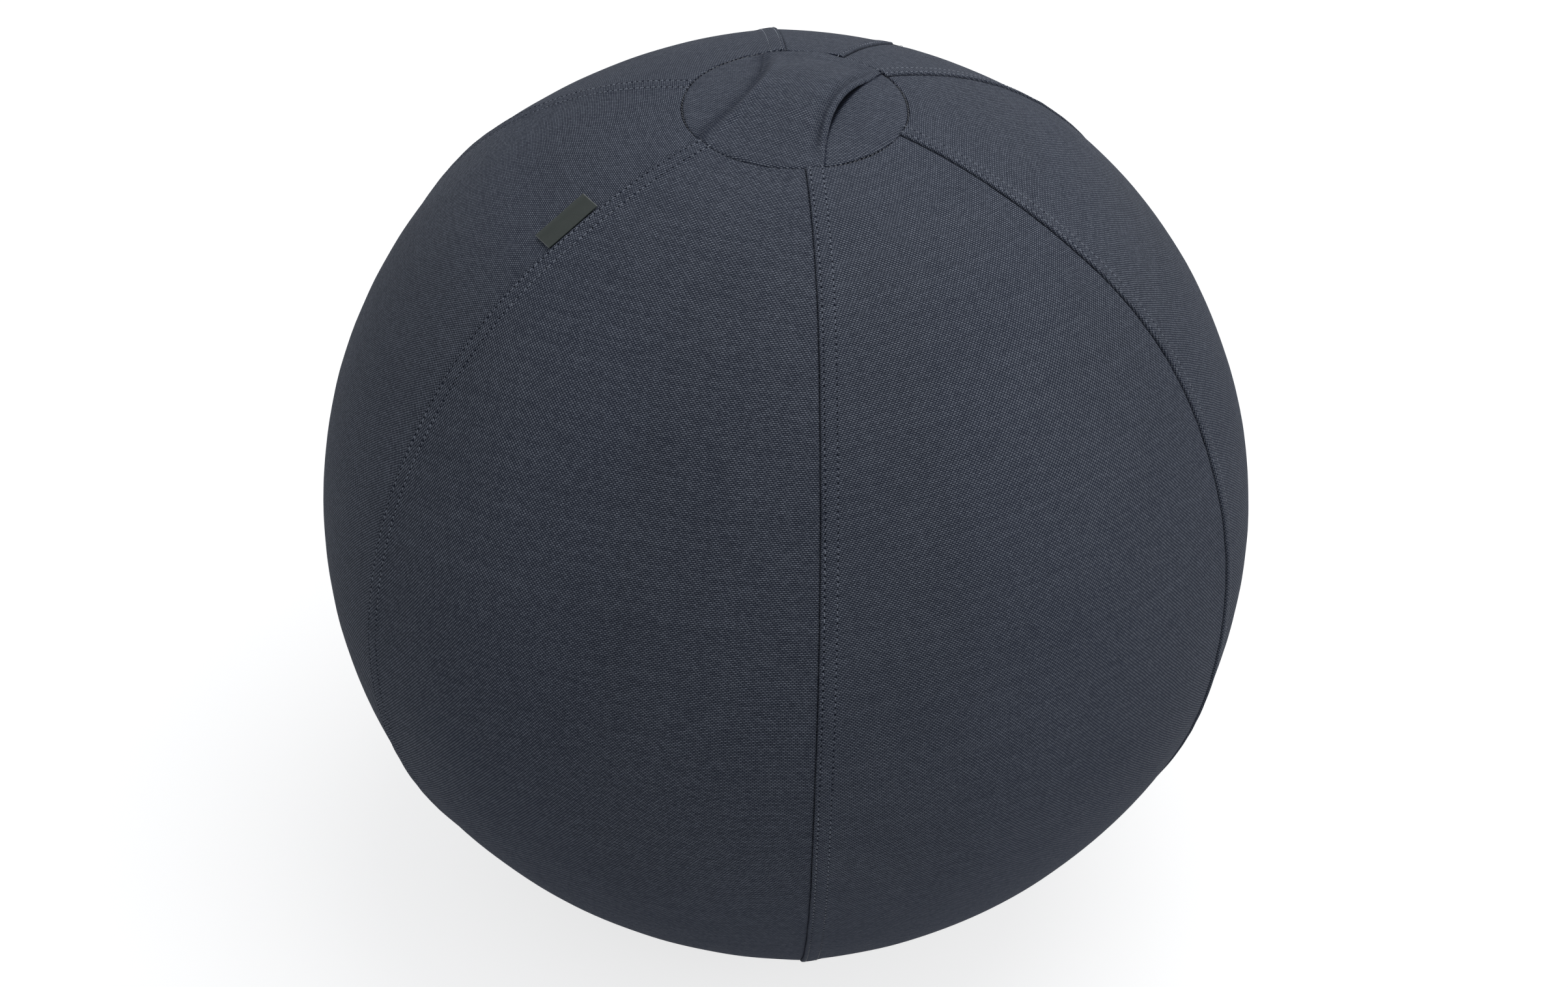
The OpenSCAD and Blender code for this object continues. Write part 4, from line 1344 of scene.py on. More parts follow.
class SITTINGBALL_OT_stage(bpy.types.Operator):
    """Camera, lamps, surroundings and a plain pale floor"""

    bl_idname = "sitting_ball.stage"
    bl_label = "Stage"

    sensor = 36.0
    photo_width = 2408.0
    middle = Vector((0.0, 0.0, 0.315))
    # The ball's middle lies this far off the photo's, in pixels to the right and up
    off_middle = (2.3, -0.5)
    lit = Vector((0.0, 0.0, 0.4))
    farthest_seen = 50.0
    floor_half = 12.0
    fill_tint = (0.93, 0.96, 1.0)
    white = (1.0, 1.0, 1.0)

    def execute(self, context):
        studio = context.scene.ball_studio
        turn, lift = studio.azimuth, studio.elevation
        away = Vector((*around(math.cos(lift), turn), math.sin(lift)))
        right = Vector((math.cos(turn), math.sin(turn), 0.0))
        up = away.cross(right)
        data = bpy.data.cameras.new("camera")
        data.sensor_width = self.sensor
        data.lens = studio.lens
        data.clip_end = self.farthest_seen
        camera = linked("camera", data)
        per_pixel = studio.distance * self.sensor / (studio.lens * self.photo_width)
        aim = self.middle - (right * self.off_middle[0] + up * self.off_middle[1]) * per_pixel
        cos, sin = math.cos(studio.roll), math.sin(studio.roll)
        axes = Matrix((right * cos + up * sin, up * cos - right * sin, away)).transposed()
        camera.matrix_world = Matrix.Translation(aim + away * studio.distance) @ axes.to_4x4()
        context.scene.camera = camera
        self.lamp("overhead", (0.35, 0.55, 2.6), 2.4, studio.key_power)
        self.lamp("side", (2.6, -0.4, 1.5), 1.6, studio.side_power)
        self.surroundings(context, studio)
        self.floor(studio)
        context.scene.view_settings.view_transform = "Standard"
        return {"FINISHED"}

    def lamp(self, name, place_at, size, power):
        data = bpy.data.lights.new(name, "AREA")
        data.shape = "DISK"
        data.size = size
        data.energy = power
        lamp = linked(name, data)
        lamp.location = place_at
        lamp.rotation_mode = "QUATERNION"
        lamp.rotation_quaternion = (Vector(place_at) - self.lit).to_track_quat("Z", "Y")

    def seen(self, t):
        """1 for rays that show a surface itself, 0 for those that only gather light."""
        rays = t.add("ShaderNodeLightPath").outputs
        direct = t.math("MAXIMUM", rays["Is Camera Ray"], rays["Is Glossy Ray"])
        return t.math("MAXIMUM", direct, rays["Is Transmission Ray"])

    def surroundings(self, context, studio):
        world = context.scene.world or bpy.data.worlds.new("surroundings")
        context.scene.world = world
        world.use_nodes = True
        world.node_tree.nodes.clear()
        t = Tree(world.node_tree)
        fill, white = (
            t.out("ShaderNodeBackground", {"Color": full(tint), "Strength": strength})
            for tint, strength in ((self.fill_tint, studio.fill), (self.white, 1.0))
        )
        both = t.out("ShaderNodeMixShader", {0: self.seen(t), 1: fill, 2: white})
        t.add("ShaderNodeOutputWorld", {0: both})

    def floor(self, studio):
        material, t, shader = shaded("studio_floor")
        seen = self.seen(t)
        shade = full([studio.floor_shade] * 3)
        for key, value in (
            ("Base Color", t.mix(seen, shade, (0.5, 0.5, 0.5, 1.0))),
            ("Emission Color", full(self.white)),
            ("Emission Strength", t.times(seen, 0.72)),
            ("Roughness", 1.0),
            ("Specular IOR Level", 0.0),
        ):
            t.set(shader, key, value)
        mesh = bpy.data.meshes.new("floor")
        half = self.floor_half
        corners = [(-half, -half, 0.0), (half, -half, 0.0), (half, half, 0.0), (-half, half, 0.0)]
        mesh.from_pydata(corners, [], [(0, 1, 2, 3)])
        mesh.materials.append(material)
        linked("floor", mesh)


class SITTINGBALL_OT_panels(bpy.types.Operator):
    """Five whole canvas panels"""

    bl_idname = "sitting_ball.panels"
    bl_label = "Whole panels"

    def execute(self, context):
        edges = (PanelEdge(-HALF_STEP, BAND), PanelEdge(HALF_STEP, DIVE))
        for node, (azimuth, skew) in PANELS.items():
            show_panel(node, azimuth, edges, skew=skew)
        return {"FINISHED"}


class SITTINGBALL_OT_back_halves(bpy.types.Operator):
    """The back panel in two halves, lapped above and below the zip"""

    bl_idname = "sitting_ball.back_halves"
    bl_label = "Back halves"

    def execute(self, context):
        right = (PanelEdge(-HALF_STEP, BAND), PanelEdge(0.0, DIVE, HEM_HIGH))
        left = (PanelEdge(0.0, BAND, HEM_LOW), PanelEdge(HALF_STEP, DIVE))
        for node, edges in (("back_panel_right", right), ("back_panel_left", left)):
            show_panel(node, BACK, edges, middle=HALF_COLUMNS)
        return {"FINISHED"}


class SITTINGBALL_OT_top_cap(bpy.types.Operator):
    """Round cap with its edge turned in, and the thread in its groove"""

    bl_idname = "sitting_ball.top_cap"
    bl_label = "Top cap"

    ring_step = 1.2
    open_edge = 14.2
    under_rings = (50.0, 36.0, 20.0, 8.0, 0.0)
    under_bulge = 0.9
    under_depth = 0.9
    # The edge's wobble sets in and the waves fade out between these radii
    wobble_from = (50.0, 72.0)
    waves_until = (60.0, 71.0)
    puckered_ring = (69.0, 3.0)
    # The seam thread follows a share of the wobble, and lies this deep in the groove
    thread_share = 0.7
    thread_depth = 0.62

    def execute(self, context):
        cover = Cover()
        edge = cover.cap_r - cover.groove / 2

        def bulge(radius):
            return cover.cap_bulge * (1.0 - (radius / edge) ** 2)

        rings = np.arange(0.0, edge - self.open_edge, self.ring_step)
        profile = [(r, bulge(r)) for r in rings]
        profile += [(edge - inset, rise + bulge(edge - inset)) for inset, rise in CAP_EDGE]
        profile += [(edge - inset, rise) for inset, rise in CAP_UNDER]
        profile += [
            (r, self.under_bulge * bulge(r) - self.under_depth) for r in self.under_rings
        ]

        def shape(radius, level, turn):
            wobble = cover.edge_wobble(turn) * smooth(radius, *self.wobble_from)
            x, y = around(radius + wobble, turn)
            flat = vectors(x, y, 0.0)
            waves = rippled(flat, CAP_WAVES) * (1.0 - smooth(radius, *self.waves_until))
            puckers = rippled(flat, CAP_PUCKERS) * mound(radius, *self.puckered_ring)
            depth = groove_depth(level, CAP_GROOVE)
            values = cloth_values(*spun(x, y, CAP_GRAIN), CAP_CLOTH, depth)
            # Painted shadow and shade of the strap on the cap
            values["shade"] = self.painted_strap_shadow(context, x, y)
            return vectors(x, y, cover.dome(x, y) + level + waves + puckers), values

        mesh = revolved("cap_canvas", profile, CAP_SEGMENTS, shape)
        piece = place("cap_canvas", mesh, canvas(), "canvas", stands_for=["top_cap"])

        def groove_line(turns):
            x, y = around(cover.cap_r + cover.edge_wobble(turns) * self.thread_share, turns)
            line = vectors(x, y, cover.dome(x, y) - self.thread_depth)
            return line, cover.outward(line)

        settings = {"material": groove_thread(), **CAP_STITCH}
        stitched_round("cap_seam_thread", cover.cap_r, GROOVE_PITCH, groove_line, **settings)
        return {"FINISHED"}

    def painted_strap_shadow(self, context, x, y):
        """Painted shadow of the strap on the cap under it and just past its right edge, with soft
        painted shade beside its left edge.
        """
        n, t = spun(x, y, context.scene.ball_strap.turn)
        u = np.clip(t / np.sqrt(np.maximum(STRAP_REACH**2 - n * n, 1.0)), -1.0, 1.0)
        from_right = np.polyval(STRAP_RIGHT, u) - n
        from_left = n - np.polyval(STRAP_LEFT, u)
        under = smooth(from_right, -1.5, -0.2) * smooth(from_left, -0.9, 0.7)
        rim = 0.42 * mound(np.minimum(from_left, 0.0), 0.0, 5.0) * (from_right > 0.0)
        return vectors(np.maximum(under, rim), 0.0, 0.0)


class SITTINGBALL_OT_base_panel(bpy.types.Operator):
    """Round base panel of coated canvas"""

    bl_idname = "sitting_ball.base_panel"
    bl_label = "Base panel"

    def execute(self, context):
        cover = Cover()
        edge, thick = cover.base_r - cover.groove / 2, cover.base_t
        profile = [(r, thick) for r in (0.0, 12.0, 24.0, 36.0, 48.0, 58.0, 66.0, 70.0)]
        profile += [(edge - 0.5, thick - 0.04), (edge - 0.15, thick - 0.2), (edge, thick * 0.5)]
        profile += [(edge - 0.15, 0.2), (edge - 0.5, 0.04)]
        profile += [(r, 0.0) for r in (70.0, 66.0, 58.0, 44.0, 28.0, 12.0, 0.0)]

        def shape(radius, level, turn):
            x, y = around(radius, turn)
            return vectors(x, y, level), cloth_values(x, y, BASE_CLOTH)

        mesh = revolved("base_coated_canvas", profile, BASE_SEGMENTS, shape)
        tint = context.scene.ball_cover.base_colour
        material = canvas_material("coated_canvas", tint, 0.0014, 0.0014, sewn=False)
        piece = place(mesh.name, mesh, material, "coated_canvas", stands_for=["base_panel"])
        line_at = level_ring(cover.base_r, 0.75, -1.0)
        settings = {"material": groove_thread(), **BASE_STITCH}
        stitched_round("base_seam_thread", cover.base_r, GROOVE_PITCH, line_at, **settings)
        return {"FINISHED"}


class SITTINGBALL_OT_seam_stitches(bpy.types.Operator):
    """Two rows of topstitching along each seam, and the rows beside the lap and the zip"""

    bl_idname = "sitting_ball.seam_stitches"
    bl_label = "Topstitching"

    def execute(self, context):
        cover = Cover()
        sewing = context.scene.ball_sewing
        angles, phases, count = stitch_row(cover)
        for seam in SEAMS:
            lines = []
            for row, rise in ((sewing.near_row, NEAR_RISE), (sewing.far_row, FAR_RISE)):
                azimuth = seam + HALF_STEP
                line = seam_row(cover, azimuth, row / MM, rise * cover.band_rise, angles)
                lines.append(self.lifted(cover, line, cover.strayed))
            stitched(f"seam_stitches_{seam}", lines, count + 1)
        near, half_gap = sewing.near_row / MM, context.scene.ball_zip.gap_width / MM / 2
        opened = zip_share(angles)
        # One row on the lap above and below the zip and on the hem beside it, one on the other hem
        for side, name, keep in ((-1.0, "left", opened >= 0.0), (1.0, "right", opened > 0.5)):
            beside = opened[keep]
            across = side * (near + half_gap * beside)
            rise = (1.0 - beside) * NEAR_RISE + beside * HEM_RISE
            line = cover.on_back(math.pi / 2 - angles[keep], across, rise)
            steps = int(round(phases[keep][-1] - phases[keep][0]))
            stitched(f"back_stitches_{name}", [self.lifted(cover, line)], steps + 1)
        return {"FINISHED"}

    def lifted(self, cover, line, moved=None):
        """A line kept off the floor, and its outward directions."""
        line[:, 2] = np.maximum(line[:, 2], LOWEST_STITCH)
        line = moved(line) if moved else line
        return line, cover.outward(line)


class SITTINGBALL_OT_handle_strap(bpy.types.Operator):
    """Carrying strap over the cap, sewn in at both ends"""

    bl_idname = "sitting_ball.handle_strap"
    bl_label = "Carrying strap"

    grids = ((161, 73), (61, 25))
    # Soft shapes along the strap: how far in from a long edge, and how wide
    crease_line = (6.6, 2.3)
    ridge_line = (2.4, 1.6)
    fold_line = (7.5, 2.6)
    hollow_line = (13.5, 4.0)
    lip_line = (1.2, 2.4)
    # Their heights, and how much lower the arch is at its sides
    ridge_height = 0.9
    fold_height = 0.9
    lip_height = 1.6
    side_fall = 0.7
    # Each ends between two shares of the way to the strap's ends
    crown_end = (0.55, 0.98)
    fold_end = (0.5, 0.95)
    thin_end = (0.6, 0.98)
    tuck_end = (0.98, 1.0)
    tuck_depth = 0.35
    edge_round = 1.3

    def execute(self, context):
        mesh = two_faced("strap_canvas", self.grids, (1.0, -1.0), (-1.0, 1.0), self.face)
        piece = place(mesh.name, mesh, canvas(), "canvas", body=None, stands_for=["handle_strap"])
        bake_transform(piece)
        return {"FINISHED"}

    def face(self, u, v, under):
        """Upper or lower face for places along (u) and across (v) the strap."""
        cover, sizes = Cover(), bpy.context.scene.ball_strap
        far = np.abs(u)
        # Columns lie closer together at the long edges
        v = 0.6 * np.sin(v * math.pi / 2) + 0.4 * v

        def across(at):
            right, left = np.polyval(STRAP_RIGHT, at), np.polyval(STRAP_LEFT, at)
            return left + (right - left) * (v + 1.0) / 2.0, (right - left) / 2.0

        n, half = across(u)
        end_n, _ = across(np.where(u > 0, 1.0, -1.0))
        middle_n, _ = across(1.0)
        spread_n = middle_n + (end_n - middle_n) * smooth(far, 0.0, 0.5)
        t = u * np.sqrt(cover.cap_r**2 - spread_n**2)
        from_right, from_left = (1.0 - v) * half, (1.0 + v) * half
        # Height of the upper face over the cap: an arch that falls to both long edges
        rise = (1.0 + np.cos(math.pi * u)) / 2.0
        peak = sizes.arch / MM - self.side_fall * v * v
        low_left = (peak - sizes.left_edge / MM) * np.exp(-((from_left / 5.4) ** 2.4))
        low_right = (peak - sizes.right_edge / MM) * mound(from_right, 0.0, 8.0)
        crown = 1.0 - smooth(far, *self.crown_end)
        crease = sizes.crease / MM * mound(from_right, *self.crease_line) * crown
        ridge = self.ridge_height * mound(from_right, *self.ridge_line) * (0.35 + 0.65 * crown)
        fold = mound(from_left, *self.fold_line) - mound(from_left, *self.hollow_line)
        fold = self.fold_height * fold
        top = 0.4 + (peak - low_left - low_right) * rise
        top = top + ridge - crease + fold * (1.0 - smooth(far, *self.fold_end))
        least = 0.95 - 0.6 * smooth(far, 0.9, 0.99)
        top = least + np.logaddexp(0.0, (top - least) * 3.0) / 3.0
        tucked = smooth(far, *self.tuck_end)
        top = top * (1.0 - tucked) - self.tuck_depth * tucked
        thick = sizes.thickness / MM + self.lip_height * mound(from_right, *self.lip_line)
        thick = thick * (1.0 - 0.62 * smooth(far, *self.thin_end))
        edge = rounded(np.minimum(from_left, from_right), self.edge_round)
        level = top - thick / 2.0 * (1.0 + edge if under else 1.0 - edge)
        x, y = spun(n, t, -sizes.turn)
        flat = vectors(x, y, 0.0)
        soft = rippled(flat, STRAP_WAVES) * (1.0 - tucked)
        # Painted shade on the left slope and in the crease, a painted dark line at the right edge,
        # and a fully dark painted underside
        shade = 0.42 * mound(from_left, 2.2, 2.8) + 0.26 * crown * mound(from_right, 5.6, 1.7)
        shade = np.maximum(shade * (1.0 - tucked), 0.55 * smooth(-from_right, -0.35, -0.05))
        values = cloth_values(n, t, STRAP_CLOTH)
        values["shade"] = vectors(np.maximum(shade, float(under)), 0.0, 0.0)
        return vectors(x, y, cover.dome(x, y) + level + soft), values


class SITTINGBALL_OT_label(bpy.types.Operator):
    """Blank woven label folded into a seam"""

    bl_idname = "sitting_ball.label"
    bl_label = "Label"

    grids = ((81, 41), (21, 13))
    sewn_in = 0.25

    def execute(self, context):
        cover = Cover()
        sizes = context.scene.ball_label
        half_length, wide = sizes.label_length / MM / 2, sizes.label_width / MM
        half_thick = sizes.label_thickness / MM / 2
        hinge = self.hinge_radius(cover, sizes.label_polar)

        def face(along, over, under):
            from_fold = over + wide
            from_end = half_length - np.abs(along)
            half = half_thick * rounded(from_fold, 0.5) * (0.55 + 0.45 * smooth(from_end, 0.0, 0.5))
            bow = 0.25 * mound(from_fold, 3.0, 3.0) - 0.00035 * along**2
            wave = rippled(vectors(along, over, 0.0), LABEL_WAVES)
            z = (-half if under else half) + bow + wave + 0.08 + hinge
            x = over - cover.groove / 2 - half_thick - 0.1
            points = self.to_frame(cover, x, along, z, sizes.label_polar)
            return points, {
                "threads": vectors(over, along, LABEL_CLOTH),
                "edge": vectors(from_end, from_fold, 0.0),
            }

        name = "label_satin"
        spans = (half_length, -half_length), (-wide, self.sewn_in)
        mesh = two_faced(name, self.grids, *spans, face)
        material = self.satin(sizes.satin_colour)
        piece = place(name, mesh, material, name, body="label", stands_for=["label_tag"])
        return {"FINISHED"}

    def hinge_radius(self, cover, polar):
        """Distance from the ball's middle to the line that the label turns on."""
        radius = cover.panel_r
        for _ in range(ROUNDS):
            out, up = radius * math.sin(polar), radius * math.cos(polar)
            ahead, aside = out * math.cos(LOW_PLANE) + cover.axis_shift, out * math.sin(LOW_PLANE)
            reach = math.hypot(ahead, aside)
            radius *= cover.panel_r / math.hypot(reach - cover.axis_shift, up)
        return radius + LABEL_SEAT

    def to_frame(self, cover, x, y, z, polar):
        """From the label's own frame to the row frame."""
        forward = z * math.sin(polar) - y * math.cos(polar)
        up = y * math.sin(polar) + z * math.cos(polar) + cover.ball_z
        return cover.strayed(cover.turned(LABEL_AZIMUTH, x, forward, up))

    def satin(self, tint):
        """Fine satin weave with pale cut ends."""
        material, t, shader = shaded("label_satin")
        threads = t.attribute("threads")
        u, v, _ = t.split(threads)
        ribs = t.math("SINE", t.times(v, FULL_TURN / 0.34))
        floats = t.math("SINE", t.times(u, FULL_TURN / 0.22))
        floats = t.times(floats, t.math("SINE", t.times(v, 4.2)))
        rough = t.noise(threads, 3.5, 3.0, 0.6)
        level = t.math("MULTIPLY_ADD", ribs, 0.6, t.times(floats, 0.4))
        light = t.times(t.fit(level, -1.0, 1.0, 0.7, 1.3), t.fit(rough, 0.2, 0.8, 0.75, 1.25))
        wear_and_shade = t.fit(t.split(t.attribute("edge"))[0], 0.15, 0.5, 1.0, 0.0)
        base = t.mix(wear_and_shade, t.toned(full(tint), light), (0.16, 0.17, 0.17, 1.0))
        dress(
            t, shader, base, t.fit(level, -1.0, 1.0, 0.6, 0.38), (level, 0.00005, 0.6),
            Sheen_Weight=0.06, Specular_IOR_Level=0.25,
        )
        return material


class SITTINGBALL_OT_zip(bpy.types.Operator):
    """Tapes, coils and metal parts of the zip"""

    bl_idname = "sitting_ball.zip"
    bl_label = "Zip"

    tape_grids = ((260, 13), (130, 5))

    def execute(self, context):
        cover = Cover()
        sizes = context.scene.ball_zip
        tape = self.tape_material(sizes.tape_colour)
        coil = grained_material("coil_nylon", sizes.coil_colour, 900.0, 0.00004, 0.38)
        for side, name in ((1.0, "right"), (-1.0, "left")):
            self.tape(cover, sizes, side, name, tape)
            self.coil(cover, sizes, side, name, coil)
        metal = grained_material(
            "zip_metal", sizes.metal_colour, 1400.0, 0.00002, 0.34, spread=0.08, metallic=1.0
        )
        for node in ("zip_bottom_stop", "zip_top_stops", "zip_slider", "zip_pull"):
            paint(node, metal)
        return {"FINISHED"}

    def tape(self, cover, sizes, side, name, material):
        tail = TAPE_TAIL / cover.panel_r
        slot, width = sizes.coil_slot / MM / 2, sizes.tape_width / MM
        half_thick = sizes.tape_thickness / MM / 2

        def face(polar, over, under):
            across = side * (slot + width * over)
            edge = rounded(np.minimum(over, 1.0 - over) * width, 0.3)
            level = TAPE_LEVEL - half_thick * (1.0 + edge if under else 1.0 - edge)
            values = {"threads": vectors(across, polar * cover.panel_r, TAPE_CLOTH)}
            return cover.on_back(polar, across, level), values

        label = f"tape_{name}"
        length_span = (sizes.top_polar - tail, sizes.low_polar + tail)
        # Seen from behind, +X is at the left
        width_span = (1.0, 0.0) if side > 0 else (0.0, 1.0)
        mesh = two_faced(label, self.tape_grids, length_span, width_span, face)
        piece = place(label, mesh, material, "zip_tape", stands_for=[f"zip_tape_{name}"])

    def coil(self, cover, sizes, side, name, material):
        stop = COIL_STOP / cover.panel_r
        polar = np.linspace(sizes.top_polar + stop, sizes.low_polar - stop, COIL_POINTS)
        width = sizes.coil_width / MM
        middle = COIL_LEVEL + sizes.coil_height / MM / 2
        line = cover.on_back(polar, side * (sizes.coil_slot / MM + width) / 2, middle)
        inputs = {
            "Turns": round((polar[-1] - polar[0]) * cover.panel_r / (sizes.coil_pitch / MM)),
            "Half width": sizes.coil_width / 2,
            "Half height": sizes.coil_height / 2,
            "Lean": 0.22 * side,
        }
        tree = line_tree("Coil turns", "Turns", COIL_SIZES, coil_shape)
        lines = [(line, cover.outward(line))]
        grown(f"coil_{name}", lines, tree, material, "zip_nylon", [f"zip_coil_{name}"], **inputs)

    def tape_material(self, tint):
        """Woven tape with a herringbone rib."""
        material, t, shader = shaded("zip_tape")
        threads = t.attribute("threads")
        u, v, _ = t.split(threads)
        fold = t.math("PINGPONG", u, 1.6)
        ribs = t.math("SINE", t.times(t.math("ADD", v, fold), FULL_TURN / 0.7))
        fine = t.noise(threads, 4.0, 3.0, 0.6)
        light = t.times(t.fit(ribs, -1.0, 1.0, 0.6, 1.3), t.fit(fine, 0.2, 0.8, 0.8, 1.2))
        rough = t.fit(ribs, -1.0, 1.0, 0.9, 0.7)
        base = t.toned(full(tint), light)
        dress(t, shader, base, rough, (ribs, 0.0001, 0.8), Sheen_Weight=0.12)
        return material


class SITTINGBALL_OT_bladder(bpy.types.Operator):
    """Inflated bladder with its valve"""

    bl_idname = "sitting_ball.bladder"
    bl_label = "Bladder and valve"

    valve_azimuth = math.radians(167.0)
    valve_polar = math.radians(74.0)
    valve_radius = 0.00708
    cut_depth = 0.008

    def execute(self, context):
        cover = Cover()
        sizes = context.scene.ball_inside
        shell = Shell()
        for inset, outward in ((0.0, True), (sizes.wall / MM, False)):
            shell.add_rings(*self.wall(cover, context.scene.ball_zip, inset), outward)
        material = grained_material(
            "bladder_vinyl", sizes.vinyl_colour, 160.0, 0.0001, 0.42, spread=0.05
        )
        piece = place(
            "bladder_skin", shell.mesh("bladder_skin"), material, "bladder_vinyl",
            stands_for=["bladder"],
        )
        self.cut_valve_hole(piece, cover)
        for node, name, tint, rough in (
            ("valve_seat", "valve_rubber", sizes.seat_colour, 0.6),
            ("valve_plug", "plug_plastic", sizes.plug_colour, 0.45),
        ):
            paint(node, grained_material(name, tint, 700.0, 0.00003, rough, spread=0.06))
        return {"FINISHED"}

    def wall(self, cover, zip_sizes, inset):
        """Rings and tips of the outer or inner face, let in along the zip and over the pouch."""
        ball_r, wall_r = BLADDER_RADIUS - inset, HOLLOW_WALL + inset
        shelf_z, top_z = HOLLOW_SHELF + inset, HOLLOW_TOP + inset
        low_z = cover.ball_z - math.sqrt(ball_r**2 - wall_r**2)
        last = math.pi - math.asin(wall_r / ball_r)
        polar = np.append(np.linspace(0.012, last - 0.006, 250), last - 0.002)
        under = np.array([
            (wall_r + 0.3, low_z + 0.02), (wall_r, low_z + 0.5), (wall_r, low_z + 4.0),
            (wall_r, shelf_z - 0.4), (wall_r - 0.4, shelf_z), (wall_r - 2.0, shelf_z + 0.02),
        ])
        bend = np.linspace(0.1, math.pi / 2, 9)
        round_r = HOLLOW_ROUND + inset
        over, up = round_r * np.cos(bend), round_r * np.sin(bend)
        arc = vectors(HOLLOW_FLAT + over, top_z - round_r + up)
        flat = vectors(np.array([60.0, 44.0, 26.0, 10.0]), top_z)
        ball = vectors(ball_r * np.sin(polar), cover.ball_z + ball_r * np.cos(polar))
        ring_r, ring_z = np.concatenate([ball, under, arc, flat]).T[:, :, None]
        turns = np.arange(BLADDER_SEGMENTS) / BLADDER_SEGMENTS * FULL_TURN
        x, y = around(ring_r, turns[None])
        points = vectors(x, y, ring_z)
        down = np.arctan2(y, ring_z - cover.ball_z)
        top, low = zip_sizes.top_polar, zip_sizes.low_polar
        within = smooth(down, top - 0.05, top - 0.03) * (1.0 - smooth(down, low + 0.03, low + 0.05))
        beside = 1.0 - smooth(np.abs(x), *(edge + inset for edge in RELIEF_SIDE))
        out = np.linalg.norm(points - np.array([0.0, 0.0, cover.ball_z]), axis=-1)
        let_in = beside * within * ((out > ball_r - 0.01) & (y > 0))
        depth = (BLADDER_RADIUS - RELIEF_RADIUS) * let_in
        points = points - cover.outward(points) * depth[..., None]
        return (points, {}), [((0.0, 0.0, z), {}) for z in (cover.ball_z + ball_r, top_z)]

    def cut_valve_hole(self, piece, cover):
        """Opens the wall for the valve seat."""
        x, y = around(math.sin(self.valve_polar), self.valve_azimuth)
        direction = Vector((x, y, math.cos(self.valve_polar)))
        centre = Vector((0.0, 0.0, cover.ball_z * MM)) + direction * (BLADDER_RADIUS * MM)
        spin = direction.to_track_quat("Z", "Y")
        count = 64
        round_points = [
            (self.valve_radius * math.cos(turn), self.valve_radius * math.sin(turn))
            for turn in (FULL_TURN * step / count for step in range(count))
        ]
        points = [
            centre + spin @ Vector((*place_at, level))
            for level in (-self.cut_depth, self.cut_depth) for place_at in round_points
        ]
        faces = [(i, (i + 1) % count, count + (i + 1) % count, count + i) for i in range(count)]
        faces += [tuple(range(count - 1, -1, -1)), tuple(range(count, 2 * count))]
        mesh = bpy.data.meshes.new("valve_cutter")
        mesh.from_pydata(points, [], faces)
        cutter = linked("valve_cutter", mesh)
        modifier = piece.modifiers.new("Hole", "BOOLEAN")
        modifier.operation = "DIFFERENCE"
        modifier.solver = "EXACT"
        modifier.object = cutter
        depsgraph = bpy.context.evaluated_depsgraph_get()
        cut = bpy.data.meshes.new_from_object(piece.evaluated_get(depsgraph))
        piece.modifiers.clear()
        piece.data = cut
        bpy.data.objects.remove(cutter)


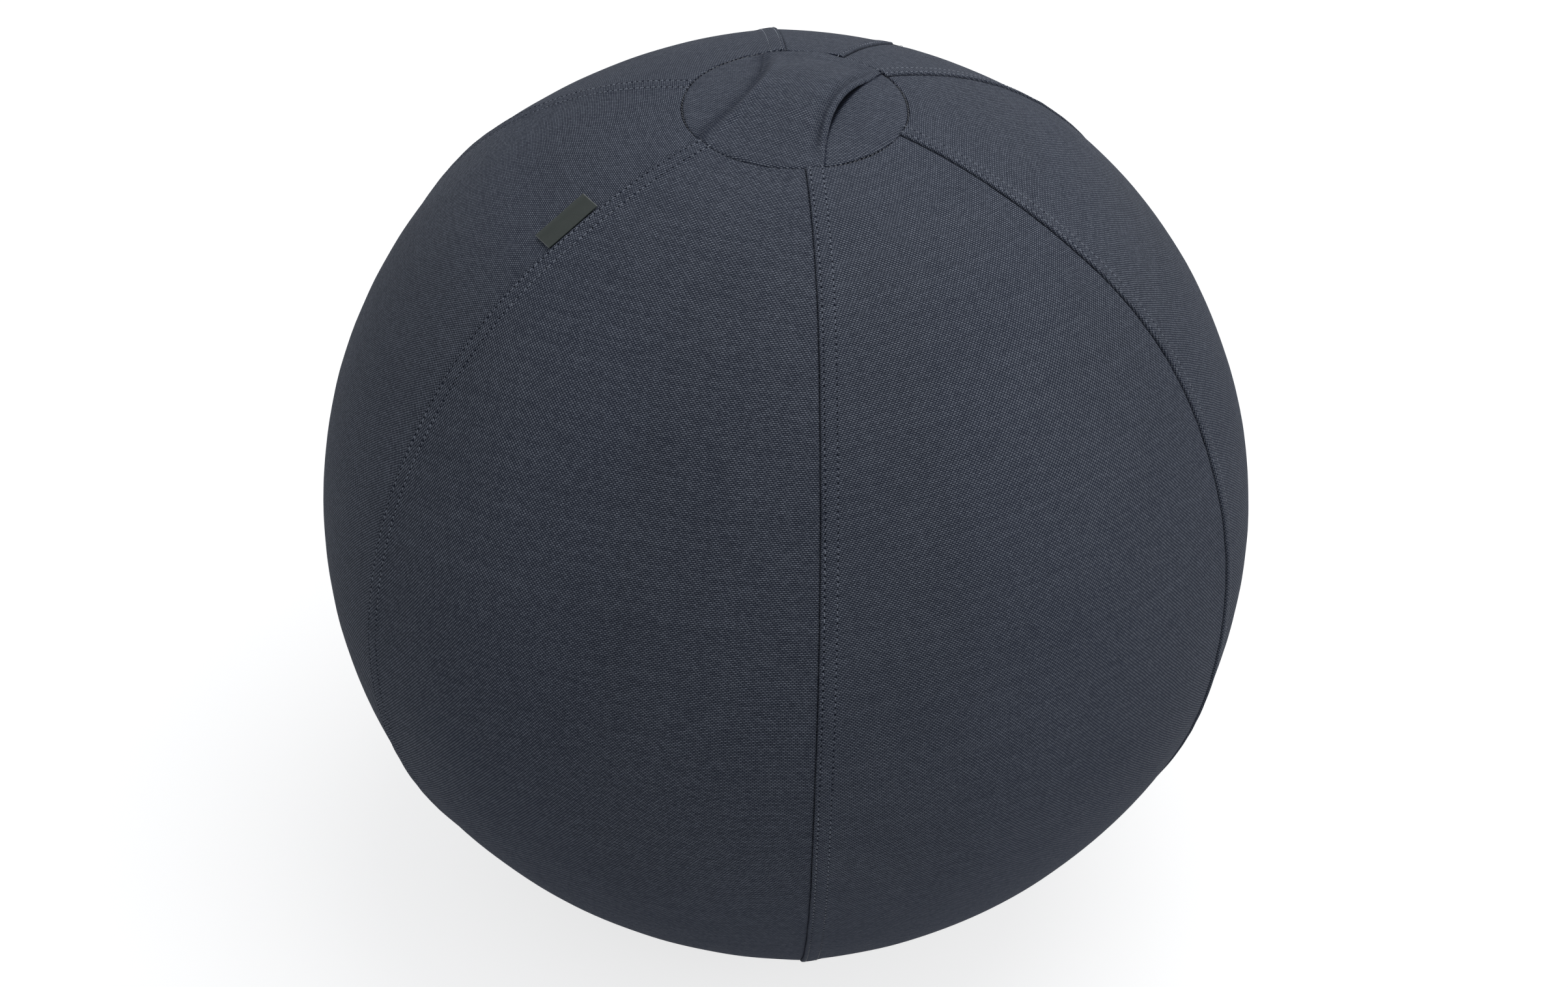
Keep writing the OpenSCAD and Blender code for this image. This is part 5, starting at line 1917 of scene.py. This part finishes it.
class SITTINGBALL_OT_weight_pouch(bpy.types.Operator):
    """Pouch in the base, sewn from two rounds of cloth, with its sand"""

    bl_idname = "sitting_ball.weight_pouch"
    bl_label = "Weight pouch"

    def execute(self, context):
        cover = Cover()
        sizes = context.scene.ball_inside
        cloth = sizes.pouch_cloth / MM
        middle = cover.base_t + 0.1 + cover.cloth + 0.3 + sizes.pouch_height / MM / 2
        material = canvas_material("pouch_cloth", sizes.pouch_colour, 0.0009, 0.0009, sewn=False)
        for sign, name in ((1.0, "upper"), (-1.0, "lower")):
            mesh = self.round_cloth(sizes, middle, cloth, sign, f"pouch_cloth_{name}")
            piece = place(mesh.name, mesh, material, "pouch_cloth", stands_for=[f"pouch_{name}"])
        radius = sizes.pouch_radius / MM - 2.2
        line_at = level_ring(radius, middle + 0.05 + cloth, 1.0)
        stitched_round("pouch_stitches", radius, POUCH_PITCH, line_at, slot="pouch_cloth")
        sand = grained_material("sand", sizes.sand_colour, 900.0, 0.0004, 0.95, spread=0.5)
        paint("sand_fill", sand)
        return {"FINISHED"}

    def round_cloth(self, sizes, middle, cloth, sign, name):
        """One side of the pouch: flat middle, rounded shoulder and sewn edge."""
        edge, half = sizes.pouch_radius / MM, sizes.pouch_height / MM / 2
        flat_r, inner_half = edge - 6.0 - half, half - cloth
        bend = np.linspace(math.pi / 2, 0.12, 9)
        rings = (0.0, 14.0, 28.0, 42.0, 56.0)
        profile = [(r, half) for r in rings]
        profile += [(flat_r + half * math.cos(a), half * math.sin(a)) for a in bend]
        profile += [
            (edge - 5.4, cloth + 0.12), (edge - 4.0, cloth + 0.05), (edge - 0.4, cloth + 0.05),
            (edge, cloth * 0.6), (edge, 0.12), (edge - 0.3, 0.05), (edge - 5.4, 0.05),
        ]
        profile += [
            (flat_r + inner_half * math.cos(a), inner_half * math.sin(a)) for a in bend[::-1]
        ]
        profile += [(r, inner_half) for r in rings[::-1]]

        def shape(radius, level, turn):
            x, y = around(radius, turn)
            puckers = np.cos(turn * 46.0 + ripple(vectors(x, y, 0.0), 60.0, 51))
            puckers = np.abs(puckers * 0.12 * mound(radius, flat_r + half * 0.8, 4.0))
            z = middle + sign * np.maximum(level - puckers, 0.05)
            return vectors(x, y, z), cloth_values(x, y, POUCH_CLOTH)

        return revolved(name, profile, POUCH_SEGMENTS, shape, outward=sign > 0)


OPERATORS = (
    SITTINGBALL_OT_stage,
    SITTINGBALL_OT_bladder,
    SITTINGBALL_OT_panels,
    SITTINGBALL_OT_back_halves,
    SITTINGBALL_OT_top_cap,
    SITTINGBALL_OT_base_panel,
    SITTINGBALL_OT_seam_stitches,
    SITTINGBALL_OT_handle_strap,
    SITTINGBALL_OT_label,
    SITTINGBALL_OT_zip,
    SITTINGBALL_OT_weight_pouch,
)


class SITTINGBALL_PT_panel(bpy.types.Panel):
    """Lists the pieces of the sitting ball"""

    bl_idname = "SITTINGBALL_PT_panel"
    bl_label = "Sitting ball"
    bl_space_type = "VIEW_3D"
    bl_region_type = "UI"
    bl_category = "Sitting ball"

    def draw(self, context):
        for operator in OPERATORS:
            self.layout.operator(operator.bl_idname)
        for key, group in SETTINGS.items():
            box = self.layout.box()
            box.label(text=group.__doc__)
            for name in group.__annotations__:
                box.prop(getattr(context.scene, key), name)


CLASSES = (*SETTINGS.values(), *OPERATORS, SITTINGBALL_PT_panel)


def register():
    for cls in CLASSES:
        bpy.utils.register_class(cls)
    for key, group in SETTINGS.items():
        setattr(bpy.types.Scene, key, bpy.props.PointerProperty(type=group))


def unregister():
    for key in SETTINGS:
        delattr(bpy.types.Scene, key)
    for cls in reversed(CLASSES):
        bpy.utils.unregister_class(cls)


def main():
    register()
    for operator in OPERATORS:
        space, name = operator.bl_idname.split(".")
        getattr(getattr(bpy.ops, space), name)()


if __name__ == "__main__":
    main()
